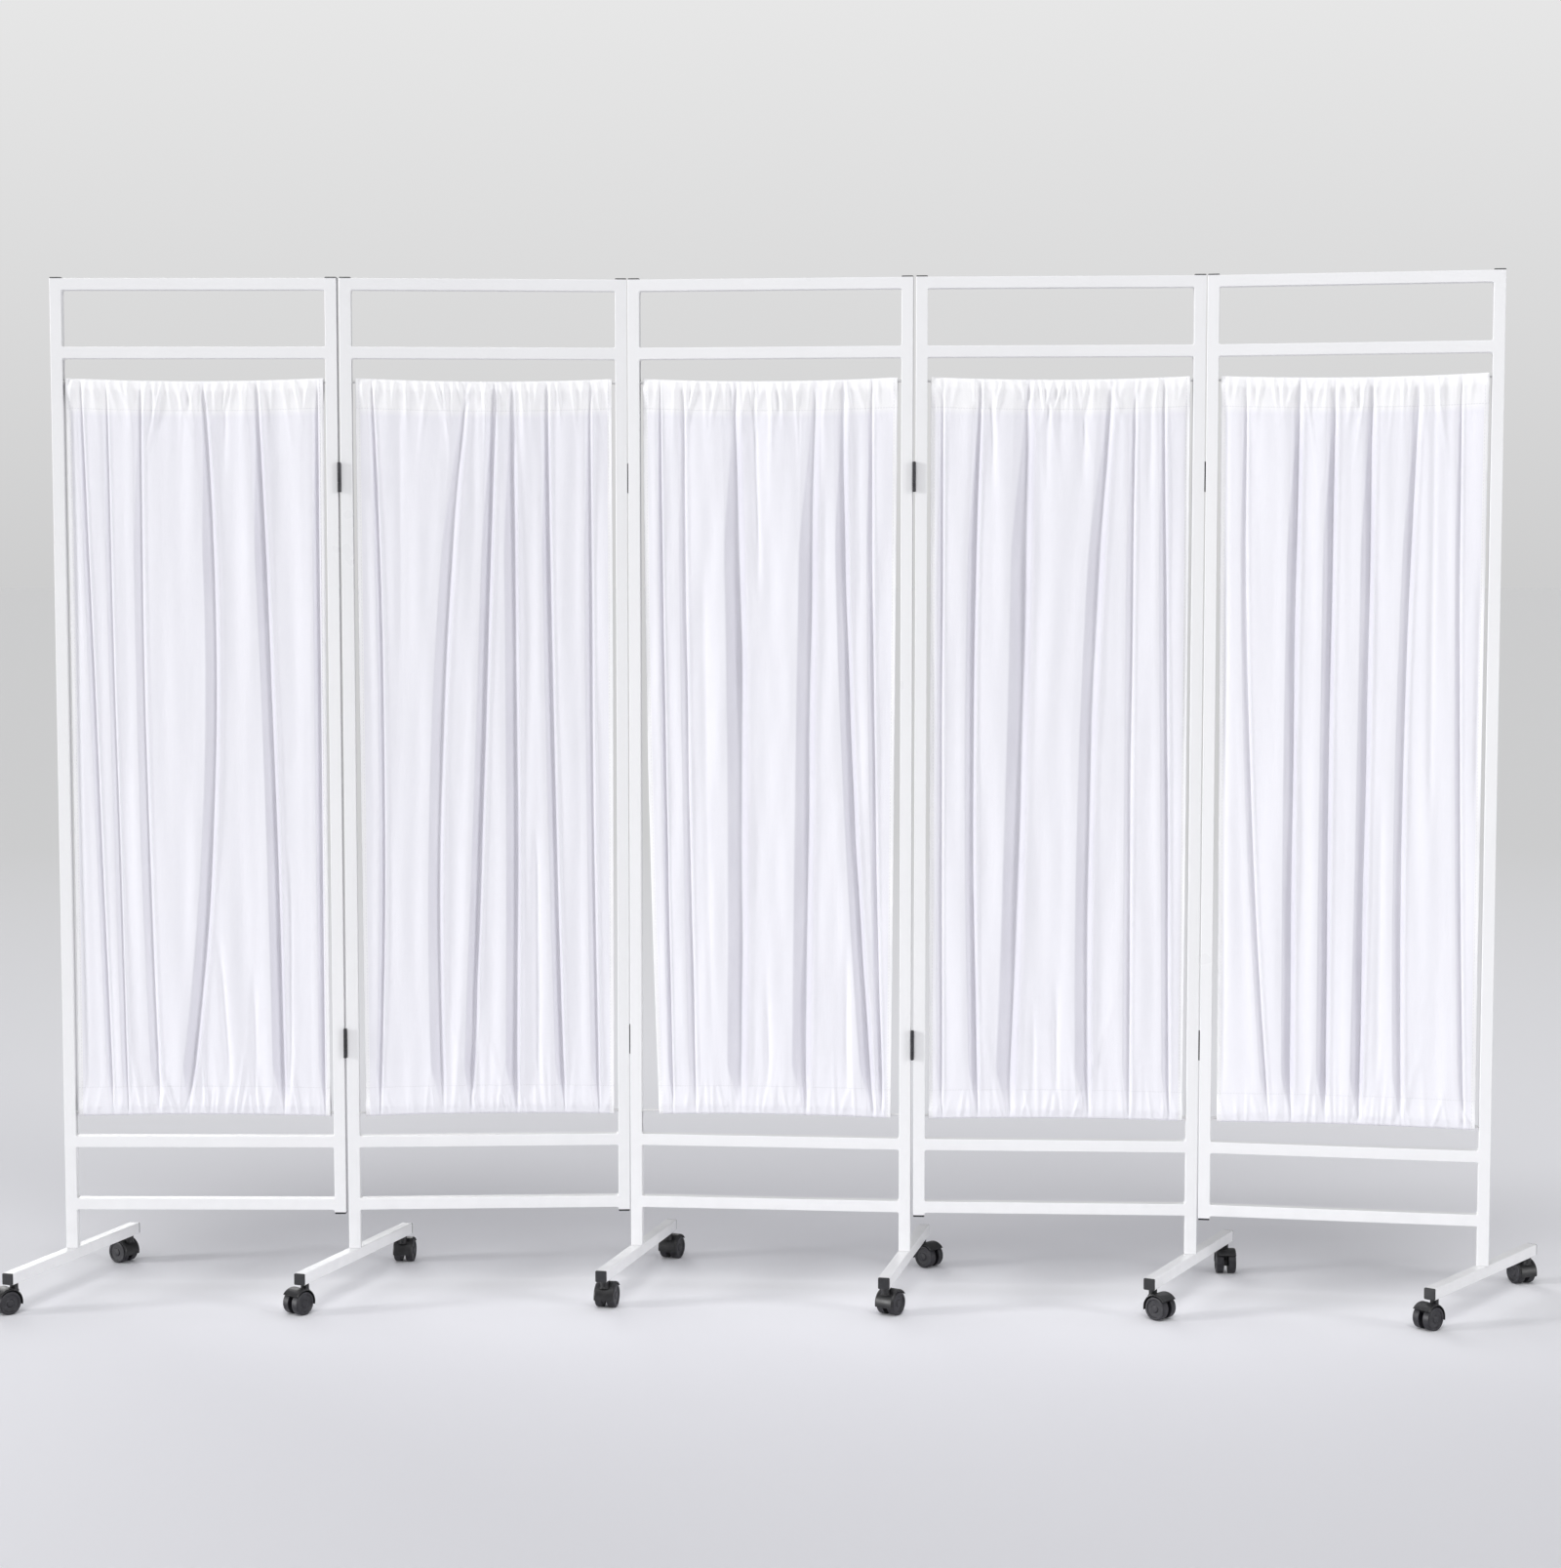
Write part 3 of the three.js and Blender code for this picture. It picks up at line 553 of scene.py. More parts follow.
def round_spot(bm, face, centre, radius, height, segments):
    """Makes a round boss on a flat face, or a round hole where height is below zero. The face is
    cut to a square round it first."""
    normal = face.normal.copy()
    in_face = [line for line in Matrix.Identity(3) if abs(normal.dot(line)) < 0.5]
    for line in in_face:
        for way in (-1, 1):
            edge = centre + line * way * radius * SPOT_ROOM
            bmesh.ops.bisect_plane(bm, geom=[face, *face.edges, *face.verts], plane_co=edge,
                                   plane_no=line)
            face = flat_face(bm, centre, normal)
    bmesh.ops.delete(bm, geom=[face], context="FACES_ONLY")
    place = Matrix.Translation(centre) @ normal.to_track_quat("Z", "Y").to_matrix().to_4x4()
    ring = bmesh.ops.create_circle(bm, cap_ends=True, segments=segments, radius=radius,
                                   matrix=place)["verts"]
    end = bmesh.ops.extrude_discrete_faces(bm, faces=[ring[0].link_faces[0]])["faces"][0]
    bmesh.ops.translate(bm, verts=end.verts, vec=normal * height)
    bmesh.ops.bridge_loops(bm, edges=[edge for edge in bm.edges if edge.is_boundary])
    bm.normal_update()
    return end


def turned(outline, steps, closed=False):
    """Turns an outline about Z. Each of its points is a radius, a height and a rounding, and an
    open outline starts and ends on the axis."""
    bm = bmesh.new()
    verts = [bm.verts.new((radius, 0, height)) for radius, height, _ in outline]
    pairs = list(zip(verts, verts[1:]))
    if closed:
        pairs.append((verts[-1], verts[0]))
    for pair in pairs:
        bm.edges.new(pair)
    for vert, (_, _, rounding) in zip(verts, outline):
        if rounding:
            rounded(bm, [vert], rounding, segments=3, affect="VERTICES")
    bmesh.ops.spin(bm, geom=bm.verts[:] + bm.edges[:], cent=(0, 0, 0), axis=(0, 0, 1),
                   angle=math.tau, steps=steps, use_merge=True, use_duplicate=False)
    bmesh.ops.remove_doubles(bm, verts=bm.verts, dist=MERGED)
    bmesh.ops.recalc_face_normals(bm, faces=bm.faces)
    return bm


def swept(outline, start, end, steps):
    """Sweeps a closed outline of radius and width about Y, from one angle over level to
    another."""
    bm = bmesh.new()
    face = bm.faces.new([bm.verts.new((radius, width, 0)) for radius, width in outline])
    bmesh.ops.rotate(bm, verts=bm.verts, cent=(0, 0, 0), matrix=Matrix.Rotation(-start, 3, "Y"))
    bmesh.ops.spin(bm, geom=[face, *face.edges, *face.verts], cent=(0, 0, 0), axis=(0, -1, 0),
                   angle=end - start, steps=steps, use_merge=False, use_duplicate=False)
    bmesh.ops.recalc_face_normals(bm, faces=bm.faces)
    return bm


def add_piece(mesh, name, body, material):
    """Makes a finished mesh a piece of the screen that rides on a body."""
    piece = bpy.data.objects.new(name, mesh)
    bpy.context.scene.collection.objects.link(piece)
    mesh.materials.append(material)
    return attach(piece, body)


def add_solid(bm, name, place, body, material):
    """Puts a hard piece in its place, with smooth rounded edges and flat faces."""
    bmesh.ops.recalc_face_normals(bm, faces=bm.faces)
    bmesh.ops.transform(bm, matrix=place, verts=bm.verts)
    mesh = bpy.data.meshes.new(name)
    bm.to_mesh(mesh)
    bm.free()
    mesh.shade_smooth()
    mesh.set_sharp_from_angle(angle=SHADED_ANGLE)
    piece = add_piece(mesh, name, body, material)
    even = piece.modifiers.new("Even shading", "WEIGHTED_NORMAL")
    even.keep_sharp = True
    return piece


# Finishes

# Most of a noise lies between these values
NOISE_LIMITS = (0.3, 0.7)

# The sockets of a Mix node that hold its two colours and its result
FIRST_COLOUR, SECOND_COLOUR, MIXED_COLOUR = 6, 7, 2

# The colour of dust, and the place of a side hem's stitches as a share of its width
DUST = (0.30, 0.30, 0.31)
SIDE_STITCH = 0.8


class Finish:
    """A material under construction: its nodes, its shader and the links between them."""

    def __init__(self, name):
        self.material = bpy.data.materials.new(name)
        self.material.use_nodes = True
        self.tree = self.material.node_tree
        self.shader = self.tree.nodes["Principled BSDF"]

    def node(self, kind, **values):
        """A node with some of its settings and input values."""
        made = self.tree.nodes.new(kind)
        for key, value in values.items():
            if key in made.inputs:
                made.inputs[key].default_value = value
            else:
                setattr(made, key, value)
        return made

    def link(self, source, target):
        """Links an output to an input."""
        self.tree.links.new(source, target)

    def set(self, **values):
        """Sets even values on the shader's own sockets."""
        for key, value in values.items():
            self.shader.inputs[key.replace("_", " ")].default_value = value

    def places(self):
        """Places on the piece, in metres."""
        return self.node("ShaderNodeTexCoord").outputs["Object"]

    def stretched(self, source, scale):
        """Places stretched along each axis."""
        mapping = self.node("ShaderNodeMapping")
        mapping.inputs["Scale"].default_value = scale
        self.link(source, mapping.inputs["Vector"])
        return mapping.outputs["Vector"]

    def noise(self, source, scale=1.0, detail=3.0):
        """A cloudy pattern, with scale cells to a unit of its source."""
        made = self.node("ShaderNodeTexNoise", Scale=scale, Detail=detail, Roughness=0.5)
        self.link(source, made.inputs["Vector"])
        return made.outputs["Fac"]

    def math(self, operation, first, second=0.0):
        """The result of an operation on two values or outputs."""
        made = self.node("ShaderNodeMath", operation=operation)
        for socket, value in zip(made.inputs, (first, second)):
            if isinstance(value, bpy.types.NodeSocket):
                self.link(value, socket)
            else:
                socket.default_value = value
        return made.outputs[0]

    def ramp(self, source, limits=NOISE_LIMITS, values=(0.0, 1.0)):
        """A value that runs between two values as the source runs between its limits."""
        made = self.node("ShaderNodeMapRange")
        made.clamp = True
        self.link(source, made.inputs["Value"])
        for key, value in zip(("From Min", "From Max", "To Min", "To Max"), (*limits, *values)):
            made.inputs[key].default_value = value
        return made.outputs["Result"]

    def mix(self, factor, first, second):
        """A colour between two."""
        made = self.node("ShaderNodeMix", data_type="RGBA")
        self.link(factor, made.inputs["Factor"])
        sockets = (made.inputs[FIRST_COLOUR], made.inputs[SECOND_COLOUR])
        for socket, value in zip(sockets, (first, second)):
            if isinstance(value, bpy.types.NodeSocket):
                self.link(value, socket)
            else:
                socket.default_value = (*value, 1.0)
        return made.outputs[MIXED_COLOUR]

    def colour(self, source):
        """Gives the shader its colour."""
        self.link(source, self.shader.inputs["Base Color"])

    def roughness(self, source):
        """Gives the shader its roughness."""
        self.link(source, self.shader.inputs["Roughness"])

    def relief(self, height, distance, strength=1.0):
        """Gives the surface a fine relief, over any that it has."""
        bump = self.node("ShaderNodeBump", Strength=strength, Distance=distance)
        self.link(height, bump.inputs["Height"])
        for link in list(self.shader.inputs["Normal"].links):
            self.link(link.from_socket, bump.inputs["Normal"])
        self.link(bump.outputs["Normal"], self.shader.inputs["Normal"])


def dimmed(value, factor):
    """A colour made darker or lighter by a factor."""
    return tuple(min(1.0, part * factor) for part in value)


def powder_coat(name, paint):
    """White powder coat: faint orange peel, cloudy gloss, and dust that gathers low down."""
    finish = Finish(name)
    places = finish.places()
    clouds = finish.noise(places, scale=9.0)
    specks = finish.noise(places, scale=420.0, detail=1.0)
    dust_height, most_dust = 0.35, 0.12
    clouded, dusty, scuffed = dimmed(paint, 0.985), dimmed(paint, 0.62), dimmed(paint, 0.7)
    height = finish.node("ShaderNodeSeparateXYZ")
    finish.link(places, height.inputs["Vector"])
    low = finish.ramp(height.outputs["Z"], (0.0, dust_height), (most_dust, 0.0))
    patches = finish.ramp(finish.noise(places, scale=38.0), (0.4, 0.7))
    soiled = finish.math("MULTIPLY", low, patches)
    scuffs = finish.ramp(specks, (0.74, 0.8), (0.0, 0.05))
    base = finish.mix(finish.ramp(clouds), clouded, paint)
    finish.colour(finish.mix(scuffs, finish.mix(soiled, base, dusty), scuffed))
    finish.roughness(finish.ramp(clouds, (0.25, 0.75), (0.27, 0.36)))
    finish.relief(finish.noise(places, scale=650.0, detail=2.0), distance=0.00004)
    finish.set(Coat_Weight=0.12, Coat_Roughness=0.2)
    return finish.material


def cloth_colour(finish, colours, doubled):
    """The cloth's colour: whiter where a hem doubles it, and darker with painted shade in the
    furrows' pleats.
    """
    # The pleat shade is painted shade over the furrows, mixed into the cloth's colour
    pleat_shade = finish.node("ShaderNodeAttribute", attribute_name="pleat_shade").outputs["Fac"]
    flat_cloth = finish.mix(doubled, tuple(colours.cloth), tuple(colours.hem))
    return finish.mix(pleat_shade, flat_cloth, tuple(colours.pleat_shade))


def curtain_cloth(sizes, colours):
    """Plain woven cloth. Its pattern follows the cloth in metres across and along it."""
    finish = Finish("Curtain_cloth")
    flat = finish.node("ShaderNodeUVMap", uv_map="Cloth").outputs["UV"]
    parts = finish.node("ShaderNodeSeparateXYZ")
    finish.link(flat, parts.inputs["Vector"])
    across, along = parts.outputs["X"], parts.outputs["Y"]
    hem = finish.node("ShaderNodeAttribute", attribute_name="hem").outputs["Fac"]
    slubs = finish.noise(finish.stretched(flat, (900.0, 55.0, 1.0)))
    cloudy = finish.noise(finish.stretched(flat, (26.0, 7.0, 1.0)))
    creases = finish.noise(finish.stretched(flat, (70.0, 16.0, 1.0)), detail=4.0)
    from_side = finish.math("MINIMUM", across, finish.math("SUBTRACT", sizes.flat_width, across))
    side_edge = (sizes.side_hem, sizes.side_hem + sizes.thickness)
    side_hem = finish.ramp(from_side, side_edge, (1.0, 0.0))
    # The whiter hem colour goes on the top and side hems only: doubled cloth, and on the top hem
    # painted light from above as well; the foot hem keeps the plain cloth colour
    half_way = (sizes.flat_length * 0.4, sizes.flat_length * 0.6)
    lit_top_half = finish.ramp(along, half_way, (1.0, 0.0))
    doubled = finish.math("MAXIMUM", finish.math("MULTIPLY", hem, lit_top_half), side_hem)
    washed, thick, sewn = [dimmed(colours.cloth, factor) for factor in (0.96, 0.93, 0.88)]
    cloth = cloth_colour(finish, colours, doubled)
    worn = finish.mix(finish.ramp(cloudy, (0.35, 0.7), (0.0, 0.3)), cloth, washed)
    woven = finish.mix(finish.ramp(slubs, (0.35, 0.7), (0.0, 0.2)), worn, thick)
    stitches = stitch_lines(finish, sizes, across, along, from_side)
    finish.colour(finish.mix(stitches, woven, sewn))
    finish.roughness(finish.ramp(slubs, values=(0.82, 0.95)))
    finish.relief(weave(finish, flat), distance=0.00012, strength=0.6)
    finish.relief(creases, distance=0.0012, strength=0.5)
    finish.relief(stitches, distance=-0.0004)
    finish.set(Sheen_Weight=0.25, Sheen_Roughness=0.5, Specular_IOR_Level=0.25)
    return finish.material


def weave(finish, flat):
    """Threads of a plain weave, over and under."""
    thread_pitches = {"X": 0.00055, "Y": 0.0006}
    length_at_scale_one = 0.314
    threads = []
    for axis, pitch in thread_pitches.items():
        wave = finish.node("ShaderNodeTexWave", wave_type="BANDS", bands_direction=axis,
                           Scale=length_at_scale_one / pitch, Distortion=0.6)
        finish.link(flat, wave.inputs["Vector"])
        threads.append(wave.outputs["Fac"])
    return finish.math("MAXIMUM", *threads)


def dashes(finish, run, across, sizes):
    """A row of stitches where across is near zero, along run."""
    step = finish.math("PINGPONG", run, sizes.stitch)
    on = finish.ramp(step, (sizes.stitch * 0.2, sizes.stitch * 0.55))
    near = finish.ramp(finish.math("ABSOLUTE", across), (0.0, sizes.thickness * 1.5), (1.0, 0.0))
    return finish.math("MULTIPLY", on, near)


def stitch_lines(finish, sizes, across, along, from_side):
    """The rows of stitches that hold the hems."""
    hem_run = hem_length(sizes)
    from_top = finish.math("SUBTRACT", along, hem_run)
    from_foot = finish.math("SUBTRACT", along, sizes.flat_length - hem_run)
    from_side_seam = finish.math("SUBTRACT", from_side, sizes.side_hem * SIDE_STITCH)
    top = dashes(finish, across, from_top, sizes)
    foot = dashes(finish, across, from_foot, sizes)
    side = dashes(finish, along, from_side_seam, sizes)
    return finish.math("MAXIMUM", finish.math("MAXIMUM", top, foot), side)


def moulded_plastic(name, plastic, roughness, most_dust=0.0):
    """Moulded plastic: spark-eroded grain, faint flow clouds, rubbed spots and a little dust."""
    finish = Finish(name)
    places = finish.places()
    clouds = finish.noise(places, scale=55.0)
    grain = finish.noise(places, scale=1900.0, detail=2.0)
    rubbed = finish.ramp(finish.noise(places, scale=160.0, detail=4.0), (0.58, 0.72), (0.0, 0.35))
    darker, lighter, worn = [dimmed(plastic, factor) for factor in (0.85, 1.15, 1.9)]
    base = finish.mix(finish.ramp(clouds), darker, lighter)
    dusted = finish.ramp(finish.noise(places, scale=90.0), (0.45, 0.75), (0.0, most_dust))
    finish.colour(finish.mix(dusted, finish.mix(rubbed, base, worn), DUST))
    finish.roughness(finish.ramp(clouds, (0.25, 0.75), (roughness - 0.06, roughness + 0.06)))
    finish.relief(grain, distance=0.00005, strength=0.8)
    return finish.material


def drawn_steel(name, metal, roughness):
    """Drawn steel: fine lines along its length and cloudy gloss."""
    finish = Finish(name)
    places = finish.places()
    lines = finish.noise(finish.stretched(places, (900.0, 900.0, 40.0)))
    clouds = finish.noise(places, scale=120.0)
    darker, lighter = dimmed(metal, 0.8), dimmed(metal, 1.2)
    finish.colour(finish.mix(finish.ramp(clouds), darker, lighter))
    finish.roughness(finish.ramp(lines, values=(roughness - 0.08, roughness + 0.1)))
    finish.relief(lines, distance=0.00002)
    finish.set(Metallic=0.9)
    return finish.material


def wire_coating(colours):
    """White plastic drawn over a close spring, whose turns show through as faint ribs."""
    finish = Finish("Wire_coating")
    half_turn = 0.0005
    along = finish.node("ShaderNodeAttribute", attribute_name="along").outputs["Fac"]
    ribs = finish.math("PINGPONG", along, half_turn)
    places = finish.places()
    marks = finish.ramp(finish.noise(places, scale=240.0), (0.5, 0.7), (0.0, 0.3))
    marked = dimmed(colours.wire, 0.8)
    finish.colour(finish.mix(marks, tuple(colours.wire), marked))
    finish.roughness(finish.ramp(finish.noise(places, scale=60.0), values=(0.38, 0.5)))
    finish.relief(ribs, distance=0.0003)
    return finish.material


def stage_paint(colours):
    """The plain floor, with painted light: lighter near the screen, greyer farther off."""
    finish = Finish("Stage_paint")
    places = finish.places()
    clouds = finish.noise(places, scale=1.3)
    away = finish.node("ShaderNodeVectorMath", operation="LENGTH")
    finish.link(places, away.inputs[0])
    # Painted light: the floor greys with distance from the screen, as the lamps' light falls off
    light_falloff = finish.ramp(away.outputs["Value"], (1.5, 9.0))
    finish.colour(finish.mix(light_falloff, tuple(colours.floor), tuple(colours.far_floor_shade)))
    finish.roughness(finish.ramp(clouds, values=(0.7, 0.8)))
    finish.set(Specular_IOR_Level=0.0)
    return finish.material


def finish_named(name, make, *values):
    """A finish that is made once and then shared."""
    return bpy.data.materials.get(name) or make(name, *values)


def paint_finish(colours):
    """The powder coat of the frames and feet."""
    return finish_named("Powder_coat", powder_coat, tuple(colours.paint))


def cap_finish(colours):
    """The plastic of the caps and plugs."""
    return finish_named("Cap_plastic", moulded_plastic, tuple(colours.cap), 0.45)


def hinge_finish(colours):
    """The darkened steel of the hinges."""
    return finish_named("Hinge_steel", drawn_steel, tuple(colours.hinge), 0.4)


def stem_finish(colours):
    """The bright steel of the casters' stems."""
    return finish_named("Bright_steel", drawn_steel, tuple(colours.steel), 0.3)


def housing_finish(colours):
    """The plastic of the casters' hoods."""
    return finish_named("Caster_plastic", moulded_plastic, tuple(colours.housing), 0.42, 0.05)


def wheel_finish(colours):
    """The plastic of the wheels."""
    return finish_named("Wheel_plastic", moulded_plastic, tuple(colours.wheel), 0.5, 0.07)


# Frames, caps and plugs

def is_tube_end(point, sizes, panel):
    """Whether a point lies on the open end of one of a frame's stiles."""
    if abs(point.x) < sizes.bay_half - TINY:
        return False
    if close_to(point.z, sizes.stile_top):
        return abs(point.x) > sizes.bay_half + TINY
    return close_to(point.z, stile_bottom(sizes, panel, math.copysign(1, point.x)))


def stile_bottom(sizes, panel, side):
    """The height of a stile's lower end."""
    return sizes.leg_bottom if has_foot(panel, side) else sizes.stub_bottom


def frame_ladder(sizes, panel):
    """Two stiles and four rails as one welded piece, before its edges are rounded."""
    half = sizes.side / 2
    columns = (-sizes.panel_half, -sizes.bay_half, sizes.bay_half, sizes.panel_half)
    rows = [sizes.leg_bottom, sizes.stub_bottom]
    for rail in sizes.rails:
        rows += [rail - half, rail + half]

    def kept(point):
        on_rail = any(abs(point.z - rail) < half for rail in sizes.rails)
        side = -1 if point.x < 0 else 1
        on_stile = abs(point.x) > sizes.bay_half and point.z > stile_bottom(sizes, panel, side)
        return on_rail or on_stile

    bm = plate(columns, rows, kept, sizes.side)
    bmesh.ops.translate(bm, verts=bm.verts, vec=(0, -half, 0))
    return bm


def frame_mesh(settings, panel, wires):
    """One frame with welds in its inner corners, rounded tube edges, hollow stile ends and the
    holes that hold the ends of the wires."""
    sizes = settings.frame
    bm = frame_ladder(sizes, panel)
    inner = [edge for edge in bm.edges
             if runs_along(edge, 1) and is_sharp(edge) and not edge.is_convex]
    rounded(bm, inner, sizes.weld, segments=4)
    bm.normal_update()
    outer = [edge for edge in bm.edges
             if is_sharp(edge) and not runs_along(edge, 1)
             and not is_tube_end(middle_of(edge), sizes, panel)]
    rounded(bm, outer, sizes.corner, segments=3)
    bm.normal_update()
    for side in SIDES.values():
        x = side * sizes.stile_centre
        low = stile_bottom(sizes, panel, side)
        spigot_room = settings.foot.spigot_length + sizes.core_depth
        depth = spigot_room if has_foot(panel, side) else sizes.core_depth + sizes.play
        bottom = flat_face(bm, Vector((x, 0, low)), Vector((0, 0, -1)))
        sunk(bm, bottom, sizes.wall, depth)
        top = flat_face(bm, Vector((x, 0, sizes.stile_top)), Vector((0, 0, 1)))
        sunk(bm, top, sizes.wall, sizes.core_depth + sizes.play)
        for height in wires:
            centre = Vector((side * sizes.bay_half, 0, height))
            face = flat_face(bm, centre, Vector((-side, 0, 0)))
            hole = settings.curtain.wire_radius + sizes.play
            round_spot(bm, face, centre, hole, -settings.curtain.wire_grip, segments=16)
    return bm


def cap_mesh(sizes, thickness):
    """A moulded cap, its crowned flange above the origin and its core below."""
    half = sizes.side / 2 - sizes.cap_inset
    inner = sizes.core / 2
    bm = block((-half, -half, 0), (half, half, thickness))
    rounded(bm, [edge for edge in bm.edges if runs_along(edge, 2)], sizes.corner, segments=4)
    rim = [edge for edge in bm.edges if is_sharp(edge) and close_to(middle_of(edge).z, thickness)]
    rounded(bm, rim, sizes.cap_bevel, segments=3)
    bm.normal_update()
    crown = widest_face(bm, Vector((0, 0, 1)))
    bmesh.ops.poke(bm, faces=[crown], offset=sizes.play)
    core = block((-inner, -inner, -sizes.core_depth), (inner, inner, 0))
    foot = [edge for edge in core.edges if close_to(middle_of(edge).z, -sizes.core_depth)]
    rounded(core, foot, sizes.cap_bevel, segments=2)
    merge(bm, core)
    return bm


# Curtains and wires

# The cloth that goes round a wire, over half a circle from the wire's middle to the hem's edge
WRAP_SHARE = 0.8

# Rows of the cloth's grid at the back of a hem, round the wire and in front of a hem
BACK_HEM_ROWS, WRAP_ROWS, FRONT_HEM_ROWS = 10, 9, 12

# How far a row may lie past the stitches and still count as hem
HEM_MARGIN = 1e-4

# A main furrow from left to right, in half widths from its middle: the ridges beside it and their
# breadths, where its steep right side ends, and the band of painted shade over its pleat: where it
# starts when it is narrow, how much farther left it starts when it is wide, how softly it starts,
# and where it ends
LEFT_RIDGE, LEFT_RIDGE_BREADTH = -1.9, 0.9
RIGHT_RIDGE, RIGHT_RIDGE_BREADTH = 1.35, 0.45
STEEP_END = 1.3
PLEAT_SHADE_START, PLEAT_SHADE_WIDENING, PLEAT_SHADE_SOFTNESS = 0.95, 2.15, 0.25
PLEAT_SHADE_END = (1.45, 1.15)

# What is left of the painted pleat shade's breadth and tone at the wires, and the shares of the
# height, from the upper and from the lower wire, over which the rest comes back
NARROWED, WIDE_FROM_TOP, WIDE_FROM_FOOT = 0.4, 0.25, 0.07
PALE_AT_TOP, TONED_FROM_TOP = 0.3, 0.13
PALE_AT_FOOT, TONED_FROM_FOOT = 0.2, 0.06

# A smaller furrow: its breadth over a main one's, the stretches of the height in which it starts
# and ends, from the places in the table, and the most depth that several reach together
SHORT_BREADTH = 0.8
SHORT_START = (-0.07, 0.02)
SHORT_END = (0.02, -0.09)
SHORT_DEEPEST = 0.7

# How the gathers differ: their places in their steps along the wire, how they crowd towards the
# middle, how far they reach in hem depths, how much farther the crowded ones do, the spread of
# their lean, their breadths and depths, and the most depth that several reach together
GATHER_PLACES = (0.2, 0.8)
GATHER_CROWDING = 0.42
GATHER_REACHES = (0.5, 1.1)
CROWDED_REACH, CROWDED_REACHES = 2.2, (0.1, 1)
GATHER_LEAN = 0.16
GATHER_BREADTHS = (0.75, 1.5)
GATHER_DEPTHS = (0.35, 1.0)
GATHER_DEEPEST = 1.2

# Slow waves of the cloth: their number, their lengths across and down in metres, and their depth
WAVES = 16
WAVES_ACROSS = (0.028, 0.11)
WAVES_DOWN = (0.35, 1.1)
WAVE_DEPTH = 0.0011

# Where the folds start to open below a wire and where they are open, in hem depths, the share of
# a gather that a furrow flattens, what is left of a gather round the wire, and its depth at the
# back of a hem over that in front
OPENING = (0.1, 1.3)
FLATTENED = 0.75
KEPT_AT_WIRE = 0.55
BACK_SHARE = 0.7

# The seed of the first curtain's chance, less one
SEED = 40


def hem_length(sizes):
    """The length of cloth in a hem, from its stitches up, over the wire and down again."""
    return 2 * (sizes.hem - sizes.wire_inset) + math.pi * sizes.wire_inset * WRAP_SHARE


def wire_levels(panel, sizes):
    """The heights of a curtain's upper and lower wires where they meet the stiles."""
    low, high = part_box(f"curtain_{panel}")
    return high.z - sizes.wire_inset, low.z + sizes.wire_inset


def through_three(top, middle, low, down):
    """A value that runs through three given ones from the top of a curtain to its foot."""
    bow = middle - (top + low) / 2
    return top + (low - top) * down + bow * 4 * down * (1 - down)


def smooth_step(low, high, value):
    """A value that eases from 0 at low to 1 at high."""
    part = np.clip((value - low) / (high - low), 0, 1)
    return part * part * (3 - 2 * part)


def sheet_rows(sizes, span):
    """The rows along the cloth, from the stitches at the back of the top hem over the upper wire,
    down the front, round the lower wire and up to the stitches at the back of the foot hem. Gives
    each row's place between the wires and its turn about the nearer wire, from 0 in front to pi
    at the back."""
    hem = (sizes.hem - sizes.wire_inset) / span
    back = np.linspace(hem, 0, BACK_HEM_ROWS)
    round_wire = np.linspace(math.pi, 0, WRAP_ROWS)[1:-1]
    front_hem = np.linspace(0, hem, FRONT_HEM_ROWS)
    body = np.linspace(hem, 1 - hem, sizes.rows + 1)[1:-1]
    top_down = np.concatenate([back, np.zeros(len(round_wire)), front_hem])
    top_turn = np.concatenate([np.full(len(back), math.pi), round_wire, np.zeros(len(front_hem))])
    down = np.concatenate([top_down, body, 1 - top_down[::-1]])
    turn = np.concatenate([top_turn, np.zeros(len(body)), top_turn[::-1]])
    return down[:, None], turn[:, None]


def bump(away, middle, breadth):
    """A smooth rise to one at the middle."""
    return np.exp(-((away - middle) / breadth) ** 2)


def main_furrows(panel, sizes, across, down, width):
    """The depth of the main furrows, the ridges beside them, the sideways draw of the cloth, and
    how much painted shade lies over each furrow's pleat."""
    well, ridge, draw, pleat_shade = 0.0, 0.0, 0.0, 0.0
    up = 1 - down
    below_top, over_foot = smooth_step(0, WIDE_FROM_TOP, down), smooth_step(0, WIDE_FROM_FOOT, up)
    spread = NARROWED + (1 - NARROWED) * below_top * over_foot
    start = PLEAT_SHADE_START - PLEAT_SHADE_WIDENING * spread
    for top, middle, low, breadth_share, depth_share in FURROW_SHARES[panel]:
        breadth = sizes.fold_width * breadth_share
        away = (across - through_three(top, middle, low, down)) * width / breadth
        slant = np.clip((away + 1) / (1 + sizes.lean), 0, 1)
        here = slant * smooth_step(STEEP_END, sizes.lean, away)
        well = well + depth_share * here
        ridge = ridge + depth_share * (bump(away, RIGHT_RIDGE, RIGHT_RIDGE_BREADTH)
                                       + bump(away, LEFT_RIDGE, LEFT_RIDGE_BREADTH) / 2)
        draw = draw - depth_share * sizes.pinch * breadth * away * here
        # Painted shade: a darker band over each furrow, faded near the wires
        shade_band = smooth_step(start, start + PLEAT_SHADE_SOFTNESS, away) * smooth_step(*PLEAT_SHADE_END, away)
        pleat_shade = np.maximum(pleat_shade, depth_share * shade_band)
    toned_top = PALE_AT_TOP + (1 - PALE_AT_TOP) * smooth_step(0, TONED_FROM_TOP, down)
    toned_foot = PALE_AT_FOOT + (1 - PALE_AT_FOOT) * smooth_step(0, TONED_FROM_FOOT, up)
    return np.minimum(well, 1), np.minimum(ridge, 1), draw, pleat_shade * (toned_top * toned_foot)


